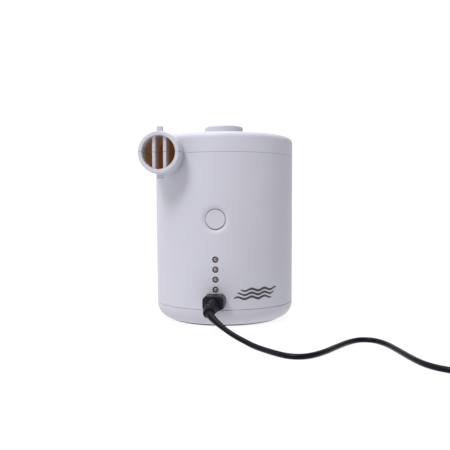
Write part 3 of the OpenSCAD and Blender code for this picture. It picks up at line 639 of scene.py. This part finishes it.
# The route from the coil to the far plug
TAIL_ROUTE = [mm(*p) for p in [
    (174.5, -119, 5.1), (174.5, -113, 4.8), (174, -106, 3.6), (172.8, -99.5, 3),
    (171.1, -94, 3.4), (169.5, -89.5, 4)]]
COIL_CENTRE = mm(153, -119, 0)
COIL_LOW_Z = 2.1 * MM
COIL_TURNS = 3.5               # turns in each of the coil's two layers
COIL_OUTER = 21.5 * MM         # to the middle of the cord
COIL_INNER = COIL_OUTER - COIL_TURNS * CORD_D
CLIMB = math.pi / 2            # angle over which the cord climbs to the upper layer


def coil_points(per_turn=40):
    """Round and in on the lower layer, up, and round and out on the upper layer."""
    layer = 2 * math.pi * COIL_TURNS
    total = 2 * layer + CLIMB
    count = round(total / (2 * math.pi) * per_turn)
    points = []
    for k in range(1, count):
        turned = total * k / count
        inward = min(turned, layer) / layer
        outward = max(turned - layer - CLIMB, 0) / layer
        climbed = min(max(turned - layer, 0) / CLIMB, 1)
        radius = COIL_OUTER + (COIL_INNER - COIL_OUTER) * (inward - outward)
        height = COIL_LOW_Z + CORD_D * climbed ** 2 * (3 - 2 * climbed)
        angle = turned - math.pi / 2
        points.append(COIL_CENTRE + Vector((radius * math.cos(angle), radius * math.sin(angle), height)))
    return points


def make_cord():
    """The whole lead as one curve."""
    route = smooth_route(CORD_ROUTE, 8) + coil_points() + smooth_route(TAIL_ROUTE, 6)
    data = bpy.data.curves.new("charging_cord", "CURVE")
    data.dimensions = "3D"
    data.bevel_depth = CORD_D / 2
    data.bevel_resolution = 5
    data.use_fill_caps = True
    spline = data.splines.new("POLY")
    spline.points.add(len(route) - 1)
    for point, place in zip(spline.points, route):
        point.co = (*place, 1)
    spline.use_smooth = True
    cord = new_object("charging_cord", data)
    data.materials.append(MATERIALS["cord_black"])
    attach(cord, "charging_lead")
    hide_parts("lead_cord", "lead_tail", "lead_coil")
    return cord


# ---- Housing shells ----

CORE_R = BODY_R - WALL / 2     # a cylinder half way through the shells' walls
HOLE_MARGIN = 0.5 * MM         # the holes are this much wider inside the wall
PATCH_RINGS = 5
SOCKET_PATCH = 4 * MM          # half widths of the squares round the holes in the net
BUTTON_PATCH = 11 * MM
FINE_STEP = 0.8 * MM           # longest sides of the net's faces, near the lights
DISH_STEP = 1.3 * MM           # near the button
ROUND_STEP = 2.2 * MM          # and elsewhere, round the body and up it
HEIGHT_STEP = 2.6 * MM


def body_radius(z):
    """Outer radius of the drafted body."""
    return BODY_R - max(SEAM_Z - z, 0) * DRAFT


def dished_radius(around, z):
    """Outer radius with the shallow dish round the button."""
    away = math.hypot(around, z - BUTTON_Z)
    rise = min(max((DISH_R - away) / (DISH_R - BUTTON_HOLE_R), 0), 1)
    return body_radius(z) - DISH_DEPTH * rise ** 2 * (1 + DISH_BEND - DISH_BEND * rise)


def steps_between(marks, longest):
    """The marks with extra values between them, no further apart than longest allows."""
    values = []
    for low, high in zip(marks, marks[1:]):
        n = math.ceil((high - low) / longest((low + high) / 2) - 1e-6)
        values += [low + (high - low) * k / n for k in range(n)]
    return values + [marks[-1]]


class Net:
    """Points round the body, in distance round from its front and height, with round holes.

    A hole is the height of its centre, its radius and half the side of the square round it.
    """

    def __init__(self, columns, rows, holes):
        self.columns, self.rows, self.holes = columns, rows, holes
        self.patches = []                  # extra points: hole, start on its square, share of the way in
        self.faces = []
        self.loops = []                    # the rim of each hole, then the bottom and top rims
        self.width = len(columns)
        for j in range(len(rows) - 1):
            for i in range(self.width):
                if not self.in_a_hole(i, j):
                    nxt = (i + 1) % self.width
                    self.faces.append((self.at(i, j), self.at(nxt, j),
                                       self.at(nxt, j + 1), self.at(i, j + 1)))
        for hole in holes:
            self.loops.append(self.patch(hole))
        self.loops.append([self.at(i, 0) for i in range(self.width)])
        self.loops.append([self.at(i, len(rows) - 1) for i in range(self.width)])

    def at(self, i, j):
        """Number of the point in a column and a row."""
        return j * self.width + i

    def in_a_hole(self, i, j):
        """Whether the face that starts at a column and a row is in a hole's square."""
        if i == self.width - 1:
            return False
        u = (self.columns[i] + self.columns[i + 1]) / 2
        z = (self.rows[j] + self.rows[j + 1]) / 2
        return any(abs(u) < half and abs(z - centre) < half for centre, _, half in self.holes)

    def patch(self, hole):
        """Rings from the square round a hole to its edge."""
        centre, _, half = hole
        span_i = [i for i, u in enumerate(self.columns) if abs(u) < half + 1e-6]
        span_j = [j for j, z in enumerate(self.rows) if abs(z - centre) < half + 1e-6]
        border = [(i, span_j[0]) for i in span_i[:-1]]
        border += [(span_i[-1], j) for j in span_j[:-1]]
        border += [(i, span_j[-1]) for i in reversed(span_i[1:])]
        border += [(span_i[0], j) for j in reversed(span_j[1:])]
        ring = [self.at(i, j) for i, j in border]
        for step in range(1, PATCH_RINGS + 1):
            start = len(self.columns) * len(self.rows) + len(self.patches)
            for i, j in border:
                self.patches.append((hole, self.columns[i], self.rows[j], step / PATCH_RINGS))
            inner = list(range(start, start + len(border)))
            for k in range(len(border)):
                nxt = (k + 1) % len(border)
                self.faces.append((ring[k], ring[nxt], inner[nxt], inner[k]))
            ring = inner
        return ring

    def points(self, margin):
        """Every point, with the holes' radius grown by the margin."""
        points = [(u, z) for z in self.rows for u in self.columns]
        for (centre, radius, _), u, z, share in self.patches:
            away = math.hypot(u, z - centre)
            reach = (radius + margin) / away
            points.append((u * (1 - share + share * reach),
                           centre + (z - centre) * (1 - share + share * reach)))
        return points


def on_body(around, z, radius):
    """The point at a distance round from the front, a height and a radius."""
    turn = around / BODY_R
    return Vector((radius * math.sin(turn), -radius * math.cos(turn), z))


def shell_solid(net, edge, steps=4):
    """A closed shell from a net: its outside, its inside, and rounded rims between them."""
    outside = [on_body(u, z, dished_radius(u, z)) for u, z in net.points(edge)]
    inside = [on_body(u, z, body_radius(z) - WALL) for u, z in net.points(HOLE_MARGIN)]
    count = len(outside)
    verts = outside + inside
    faces = list(net.faces) + [tuple(count + i for i in reversed(face)) for face in net.faces]
    flat = net.points(0)
    for loop, centre in zip(net.loops, [hole[0] for hole in net.holes] + [None, None]):
        last = loop
        for k in range(1, steps + 1):
            turn = math.pi / 2 * k / steps
            ring = []
            for i in loop:
                u, z = flat[i]
                back = edge * (1 - math.sin(turn))
                deep = edge * (1 - math.cos(turn))
                radius = dished_radius(u, z) - deep
                if centre is not None:
                    away = math.hypot(u, z - centre)
                    u, z = u * (1 + back / away), centre + (z - centre) * (1 + back / away)
                ring.append(len(verts))
                verts.append(on_body(u, z, radius))
            faces += bridge(last, ring)
            last = ring
        faces += bridge(last, [count + i for i in loop])
    return verts, faces


def bridge(a, b):
    """Faces between two loops of the same length."""
    n = len(a)
    return [(a[k], a[(k + 1) % n], b[(k + 1) % n], b[k]) for k in range(n)]


def main_shell():
    """The tall body shell with its button, light and socket holes."""
    led_half = (LED_ZS[0] - LED_ZS[1]) / 2
    lights_top = LED_ZS[0] + led_half
    holes = [(BUTTON_Z, BUTTON_HOLE_R, BUTTON_PATCH), (SOCKET_Z, SOCKET_HOLE_R, SOCKET_PATCH)]
    holes += [(z, LED_HOLE_R, led_half) for z in LED_ZS]
    marks = [0, led_half, SOCKET_PATCH, BUTTON_PATCH, math.pi * BODY_R]
    right = steps_between(marks, lambda u: FINE_STEP if u < SOCKET_PATCH
                          else DISH_STEP if u < BUTTON_PATCH else ROUND_STEP)
    columns = [-u for u in reversed(right[1:-1])] + right
    marks = [BASE_SEAM_Z + BASE_HALF_GAP, SOCKET_Z - SOCKET_PATCH, SOCKET_Z + SOCKET_PATCH]
    marks += [z - led_half for z in reversed(LED_ZS)] + [lights_top]
    marks += [BUTTON_Z - BUTTON_PATCH, BUTTON_Z + BUTTON_PATCH, SEAM_Z - SEAM_HALF_GAP]
    rows = steps_between(marks, lambda z: FINE_STEP if z < lights_top
                         else DISH_STEP if abs(z - BUTTON_Z) < BUTTON_PATCH else HEIGHT_STEP)
    return shell_solid(Net(columns, rows, holes), SEAM_EDGE)


def nozzle_outside():
    """The solid outside of the nozzle, without its lugs."""
    r, front = NOZZLE_R, -NOZZLE_FRONT
    profile = rounded([(0, NOZZLE_START, 0), (r + SPIGOT_STEP, NOZZLE_START, 0),
                       (r + SPIGOT_STEP, front - SPIGOT_LEN, SPIGOT_STEP),
                       (r, front - SPIGOT_LEN + SPIGOT_STEP, SPIGOT_STEP),
                       (r, front, MOUTH_EDGE_R), (0, front, 0)])
    return lathe(profile, facing_front(NOZZLE_X, 0, NOZZLE_Z), 120)


def nozzle_lug(side):
    """One bayonet lug, on top of the nozzle or under it."""
    w, d, h = LUG_SIZE
    outline = rectangle(-w / 2, -d / 2, w / 2, d / 2, 0.3 * MM)
    return soft_block(outline, NOZZLE_R - LUG_ROOT, NOZZLE_R + h, 0.25 * MM, lambda x, y, away: Vector(
        (NOZZLE_X + x, NOZZLE_FRONT + LUG_BACK + y, NOZZLE_Z + side * away)))


def nozzle_bore():
    """The cutter of the air way, with a small round at the mouth."""
    r, front = NOZZLE_BORE_R, -NOZZLE_FRONT
    profile = rounded([(0, BORE_START, 0), (r, BORE_START, 0), (r, front, 0.5 * MM),
                       (r + CUTTER_REACH, front + TINY, 0),
                       (r + CUTTER_REACH, front + CUTTER_REACH, 0), (0, front + CUTTER_REACH, 0)])
    return lathe(profile, facing_front(NOZZLE_X, 0, NOZZLE_Z), 120)


def guard_bar(side):
    """One upright bar across the nozzle."""
    outline = rectangle(-BAR_T / 2, 0, BAR_T / 2, BAR_DEPTH, 0.35 * MM)
    x0 = NOZZLE_X + side * BAR_PITCH / 2
    reach = NOZZLE_BORE_R + BAR_ROOT
    return soft_block(outline, -reach, reach, 10 * TINY, lambda x, y, h: Vector(
        (x0 + x, NOZZLE_FRONT + BAR_RECESS + y, NOZZLE_Z + h)))


def add_nozzle(shell, above):
    """Joins one half of the nozzle to a shell: above the seam, or below it."""
    level = SEAM_Z + (NOZZLE_HALF_GAP if above else -NOZZLE_HALF_GAP)
    plane = (Vector((0, 0, level)), Vector((0, 0, -1 if above else 1)))
    white = MATERIALS["shell_white"]
    outside = add_piece("tool", *nozzle_outside(), white)
    core_top = TOP_Z - WALL / 2
    core = lathe([(0, 0), (CORE_R, 0), (CORE_R, core_top), (0, core_top)], upright(), 160)
    boolean(outside, add_piece("core", *core, white), "DIFFERENCE")
    trim(outside, *plane)
    boolean(shell, outside, "UNION")
    boolean(shell, add_piece("lug", *nozzle_lug(1 if above else -1), white), "UNION")
    boolean(shell, add_piece("bore", *nozzle_bore(), DUCT_WHITE_PAINTED_SHADE_GLOW), "DIFFERENCE")
    for side in (-1, 1):
        bar = trim(add_piece("bar", *guard_bar(side), DUCT_WHITE_PAINTED_SHADE_GLOW), *plane)
        boolean(shell, bar, "UNION")
    line_inside(shell)
    finish_mesh(shell.data, SHELL_CREASE)
    even_normals(shell)


def line_inside(shell):
    """Gives the faces that look into the housing the blower's brown, with its painted glow."""
    shell.data.materials.append(DUCT_BROWN_PAINTED_GLOW)
    deep = 0.7 * WALL
    for face in shell.data.polygons:
        x, y, z = face.center
        if math.hypot(x, y) < BODY_R - deep and z < TOP_Z - deep and face.material_index == 0:
            face.material_index = len(shell.data.materials) - 1


def make_main_body():
    """The body shell with the lower half of the nozzle."""
    shell = add_piece("body_shell", *main_shell(), MATERIALS["shell_white"])
    shell.data.materials.append(DUCT_WHITE_PAINTED_SHADE_GLOW)
    add_nozzle(shell, above=False)
    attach(shell, "housing")
    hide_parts("main_body")


def make_top_cover():
    """The cover with its rounded edge, collar, grille seat and the upper half of the nozzle."""
    under = TOP_Z - WALL
    grille_low, grille_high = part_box("inlet_grille")
    low = SEAM_Z + SEAM_HALF_GAP
    seat_r = grille_high.x + SEAT_GAP
    inlet_r = seat_r - SEAT_LIP
    skirt_r = inlet_r + SKIRT_WALL
    skirt_end = under - SKIRT_LEN
    profile = rounded([
        (BODY_R - WALL, low, 0.1 * MM), (BODY_R, low, SEAM_EDGE), (BODY_R, TOP_Z, TOP_EDGE_R),
        (COLLAR_R, TOP_Z, 0.5 * MM), (COLLAR_R, COLLAR_Z, COLLAR_EDGE_R), (seat_r, COLLAR_Z, 0.5 * MM),
        (seat_r, grille_low.z, 0), (inlet_r, grille_low.z, 0.2 * MM), (inlet_r, skirt_end, 0.3 * MM),
        (skirt_r, skirt_end, 0.3 * MM), (skirt_r, under, 0.3 * MM),
        (BODY_R - WALL, under, 2 * MM)], closed=True, steps=8)
    cover = add_piece("cover_shell", *lathe(profile, upright(), 180, closed=True),
                      MATERIALS["shell_white"])
    cover.data.materials.append(DUCT_WHITE_PAINTED_SHADE_GLOW)
    add_nozzle(cover, above=True)
    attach(cover, "housing")
    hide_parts("top_cover")


def make_base_cap():
    """The base with its big rounded edge, the foot's groove and the screw recesses."""
    r = body_radius(BASE_SEAM_Z)
    foot_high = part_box("foot_ring")[1]
    high = BASE_SEAM_Z - BASE_HALF_GAP
    plate_top = BASE_Z + BASE_PLATE
    profile = rounded([
        (0, BASE_Z, 0), (FOOT_GROOVE_R, BASE_Z, 0.2 * MM), (FOOT_GROOVE_R, foot_high.z, 0),
        (foot_high.x, foot_high.z, 0), (foot_high.x, BASE_Z, 0.2 * MM), (r, BASE_Z, BASE_EDGE_R),
        (r, high, SEAM_EDGE), (r - WALL, high, 0.1 * MM),
        (r - WALL, plate_top, BASE_EDGE_R - BASE_PLATE), (0, plate_top, 0)], steps=14)
    white = MATERIALS["shell_white"]
    cap = add_piece("base_shell", *lathe(profile, upright(), 180), white)
    boss_low = BASE_Z + 1 * MM
    boss = [(0, boss_low), (BOSS_R, boss_low), (BOSS_R, BOSS_TOP), (0, BOSS_TOP)]
    wide = RECESS_R + 1.9 * MM
    recess = rounded([(0, -1 * MM, 0), (wide, -1 * MM, 0), (wide, BASE_Z - TINY, 0),
                      (RECESS_R, BASE_Z, 0.4 * MM), (RECESS_R, RECESS_TOP, 0), (0, RECESS_TOP, 0)])
    for degrees in (90, 210, 330):
        turn = math.radians(degrees)
        place = upright(BOSS_AWAY * math.cos(turn), BOSS_AWAY * math.sin(turn))
        boolean(cap, add_piece("boss", *lathe(boss, place, 48), white), "UNION")
        boolean(cap, add_piece("recess", *lathe(recess, place, 48), white), "DIFFERENCE")
    finish_mesh(cap.data, SHELL_CREASE)
    even_normals(cap)
    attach(cap, "housing")
    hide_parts("base_cap")


# ---- Controls ----


def make_button():
    """The power button: a faintly hollow face with a soft edge, on its flange."""
    back = button_high.y
    face = back - button_low.y
    profile = rounded([
        (0, 0, 0), (button_high.x, 0, 0.1 * MM), (button_high.x, BUTTON_FLANGE, 0.1 * MM),
        (BUTTON_R, BUTTON_FLANGE, 0.1 * MM), (BUTTON_R, face, 0.6 * MM),
        (5.2 * MM, face, 1.5 * MM), (4 * MM, face - 0.12 * MM, 1 * MM), (0, face - 0.2 * MM, 0)])
    button = add_piece("button_cap", *lathe(profile, facing_front(0, back, BUTTON_Z), 96),
                       MATERIALS["button_white"])
    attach(button, "button")
    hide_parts("power_button")


def make_status_light(number, z):
    """One 3 mm indicator: a domed lens on its flange."""
    name = f"status_led_{number}"
    low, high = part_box(name)
    length = high.y - low.y
    profile = rounded([
        (0, 0, 0), (high.x, 0, 0.1 * MM), (high.x, LENS_FLANGE, 0.1 * MM), (LENS_R, LENS_FLANGE, 0.1 * MM),
        (LENS_R, length, LENS_R - 0.05 * MM), (0, length, 0)], steps=8)
    lens = add_piece(f"light_lens_{number}", *lathe(profile, facing_front(0, length, 0), 48),
                     MATERIALS["led_clear"])
    lens.location = (0, low.y, z)
    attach(lens, "housing")
    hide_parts(name)


def wave_ribbon(start, end, height, steps=96):
    """Vertices and faces of a thin wavy line on the body, which narrows to its ends."""
    verts, faces = [], []
    for k in range(steps + 1):
        share = k / steps
        u = start + (end - start) * share
        z = height + MARK_WAVE * math.sin(2 * math.pi * (u - MARK_START) / MARK_PERIOD)
        half = MARK_STROKE / 2 * (MARK_TIP + (1 - MARK_TIP) * math.sin(math.pi * share) ** 0.5)
        for side, lift in ((-1, MARK_SUNK), (1, MARK_SUNK), (1, MARK_PROUD), (-1, MARK_PROUD)):
            verts.append(on_body(u, z + side * half, body_radius(z) + lift))
    for k in range(steps):
        faces += bridge(range(4 * k, 4 * k + 4), range(4 * k + 4, 4 * k + 8))
    return verts, faces + [(0, 1, 2, 3), tuple(4 * steps + i for i in range(4))]


def make_mark():
    """A generic printed mark: three wavy lines, like moving air."""
    lines = [wave_ribbon(MARK_START + k * MARK_STAGGER, MARK_END - (2 - k) * MARK_STAGGER,
                         MARK_Z + (k - 1) * MARK_PITCH) for k in range(3)]
    mark = add_piece("air_mark", *merged(*lines), MATERIALS["printed_mark"])
    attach(mark, "housing")


# ---- Plug and strain relief ----


def make_plug():
    """The plug's moulded block with soft edges."""
    w, h = plug_high.x, (plug_high.z - plug_low.z) / 2
    outline = cut_rectangle(w, h, PLUG_CUT, PLUG_LOW_CUT, 0.8 * MM)
    block = soft_block(outline, 0, plug_high.y - plug_low.y, 0.6 * MM,
                       facing_front(0, plug_high.y, PLUG_Z))
    plug = even_normals(add_piece("plug_moulding", *block, MATERIALS["plug_black"]))
    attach(plug, "charging_lead")
    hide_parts("plug_block")
    return plug


def relief_radius(away):
    """Radius of the strain relief at a distance from its start: ribs, then a plain sleeve."""
    if away < RIBBED:
        groove = math.cos(2 * math.pi * RIBS * away / RIBBED) > GROOVE_LEVEL
        return RIB_R - RIB_TAPER * away / RIBBED - RIB_DEPTH * groove
    return max(SLEEVE_R - SLEEVE_TAPER * (away - RIBBED), SLEEVE_END_R)


def make_relief():
    """The strain relief: a ribbed taper out of the plug that runs on as a sleeve on the cord."""
    start = Vector((0, plug_low.y + 1 * MM, SOCKET_Z))
    guide = [start, start + mm(0, -5, 0), start + mm(0, -10, -0.15)] + CORD_ROUTE[:6]
    route = smooth_route(guide, 14)
    away, radii = 0, []
    for i, point in enumerate(route):
        away += (point - route[i - 1]).length if i else 0
        radii.append(relief_radius(away))
    relief = add_piece("relief_sleeve", *sweep(route, radii, 32), MATERIALS["relief_black"], crease=50)
    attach(relief, "charging_lead")
    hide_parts("strain_relief")
    return relief


def at_far_plug(x, y, z):
    """A point in the far plug's own frame, whose +Y runs out of its cord end."""
    turn = math.radians(USB_TURN)
    return TAIL_ROUTE[-1] + Vector((x * math.cos(turn) - y * math.sin(turn),
                                    x * math.sin(turn) + y * math.cos(turn), z))


def make_far_plug():
    """The far plug's grip: a soft-edged block with grooves."""
    w, t = USB_SIZE[0] / 2, USB_SIZE[1] / 2
    black = MATERIALS["plug_black"]
    outline = cut_rectangle(w, t, USB_CUT, USB_CUT, 1 * MM)
    block = soft_block(outline, 0, USB_SIZE[2], 1.2 * MM, lambda x, z, y: at_far_plug(x, y, z))
    grip = add_piece("usb_grip", *block, black)
    long, wide, deep = GROOVE_SIZE
    for k in range(GROOVES):
        low = GROOVE_START + GROOVE_PITCH * k
        groove = rectangle(-long / 2, low, long / 2, low + wide, 0.3 * MM)
        for side in (1, -1):
            tool = soft_block(groove, t - deep, t + CUTTER_REACH, 0.1 * MM,
                              lambda x, y, z, s=side: at_far_plug(x, y, s * z))
            boolean(grip, add_piece("groove", *tool, black), "DIFFERENCE")
    finish_mesh(grip.data, SHELL_CREASE)
    even_normals(grip)
    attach(grip, "charging_lead")
    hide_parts("usb_body")
    return grip


def make_far_relief():
    """The far plug's strain relief: four ribs on a sleeve that widens towards the grip."""
    route = smooth_route(TAIL_ROUTE[-3:], 28)
    thin_r, widening, deep, ribs = 1.75 * MM, 1.35 * MM, 0.35 * MM, 4
    radii = []
    for k in range(len(route)):
        share = k / (len(route) - 1)
        groove = math.cos(2 * math.pi * ribs * share) < -0.3
        radii.append(thin_r + widening * share - deep * share * groove)
    sleeve = add_piece("usb_relief", *sweep(route, radii, 32), MATERIALS["relief_black"], crease=50)
    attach(sleeve, "charging_lead")
    return sleeve


def make_tie():
    """The strap round the coil: one soft-edged band."""
    low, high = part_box("coil_tie")
    middle = (low.x + high.x) / 2
    half_w, half_t, bend = (high.x - low.x) / 2, 0.3 * MM, 1.6 * MM
    loop = rectangle(low.y + half_t, low.z + half_t, high.y - half_t, high.z - half_t, bend, steps=8)
    section = rectangle(-half_w, -half_t, half_w, half_t, 0.14 * MM, steps=3)
    n, m = len(loop), len(section)
    verts = []
    for k, point in enumerate(loop):
        along = (loop[(k + 1) % n] - loop[k - 1]).normalized()
        verts += [Vector((middle + u, point.x + along.y * v, point.y - along.x * v)) for u, v in section]
    faces = [(k * m + i, k * m + (i + 1) % m, (k + 1) % n * m + (i + 1) % m, (k + 1) % n * m + i)
             for k in range(n) for i in range(m)]
    tie = even_normals(add_piece("coil_strap", verts, faces, MATERIALS["black_plastic"]))
    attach(tie, "charging_lead")
    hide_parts("coil_tie")
    return tie


# ---- Stage ----

BACKDROP = 1.1                 # brightness of the surround behind and above the object
BACK_RIGHT = 0.36              # and beyond the right of the view
FRONT_LEFT = 0.39              # and in front of the object, at its left and at its right
FRONT_RIGHT = 0.25
FLOOR_GLOW = 0.87              # of the lit table's own light
PAINTED_SHADOW_RADII = (35.5 * MM, 39 * MM)   # radii between which the painted shadow under the base fades out
FLOOR_HALF = 6


def make_floor():
    """A wide pale table that glows by itself, its glow faded out under the base as a painted shadow."""
    mesh = bpy.data.meshes.new("floor")
    corners = [(-1, -1, 0), (1, -1, 0), (1, 1, 0), (-1, 1, 0)]
    mesh.from_pydata([Vector(corner) * FLOOR_HALF for corner in corners], [], [(0, 1, 2, 3)])
    floor = new_object("floor", mesh)
    finish = Finish("glowing_table_painted_shadow", (0.8, 0.9), gloss=0.1).colours((0.14, 0.14, 0.14), (0.16, 0.16, 0.16))
    # Painted shadow: the glow falls to nothing near the base's footprint.
    finish.glow((FLOOR_GLOW, FLOOR_GLOW, FLOOR_GLOW), finish.near((0, 0, 0), *PAINTED_SHADOW_RADII))
    floor.data.materials.append(finish.material)


def add_light(name, place, aim, size, power):
    """A square soft box that looks at a point."""
    data = bpy.data.lights.new(name, "AREA")
    data.size = size
    data.energy = power
    light = new_object(name, data)
    light.location = place
    light.rotation_mode = "QUATERNION"
    light.rotation_quaternion = (Vector(aim) - Vector(place)).to_track_quat("-Z", "Y")


def make_world():
    """A white surround behind the object, dimmer in front of it and to its right."""
    world = bpy.data.worlds.new("surround")
    bpy.context.scene.world = world
    world.use_nodes = True
    nodes, links = world.node_tree.nodes, world.node_tree.links
    place = nodes.new("ShaderNodeTexCoord").outputs["Generated"]

    def fade(direction, start, end, low, high):
        """Runs from low to high as the view turns towards a direction."""
        turn = nodes.new("ShaderNodeVectorMath")
        turn.operation = "DOT_PRODUCT"
        turn.inputs[1].default_value = direction
        links.new(place, turn.inputs[0])
        return map_range(world.node_tree, turn.outputs["Value"], start, end, low, high)

    blend = nodes.new("ShaderNodeMix")
    behind, rightward = (0, 0.6, 0.8), (1, 0, 0)
    links.new(fade(behind, -0.1, 0.5, 0, 1), blend.inputs["Factor"])
    links.new(fade(rightward, -0.7, 0.9, FRONT_LEFT, FRONT_RIGHT), blend.inputs["A"])
    links.new(fade(rightward, 0.28, 0.7, BACKDROP, BACK_RIGHT), blend.inputs["B"])
    links.new(blend.outputs["Result"], nodes["Background"].inputs["Strength"])
    nodes["Background"].inputs["Color"].default_value = (1, 1, 1, 1)


make_floor()
make_world()
add_light("overhead", place=(-0.1, 0, 1.6), aim=(0, 0, 0), size=1.2, power=13)
add_light("key", place=(-0.45, -0.9, 1.2), aim=(0, 0, 0.06), size=0.45, power=11.5)
bpy.context.scene.view_settings.view_transform = "Standard"

# ---- Assembly ----

make_main_body()
make_top_cover()
make_base_cap()
make_button()
for number, led_z in enumerate(LED_ZS, 1):
    make_status_light(number, led_z)
make_mark()
plug = make_plug()
relief = make_relief()
grip = make_far_plug()
far_relief = make_far_relief()
tie = make_tie()
cord = make_cord()
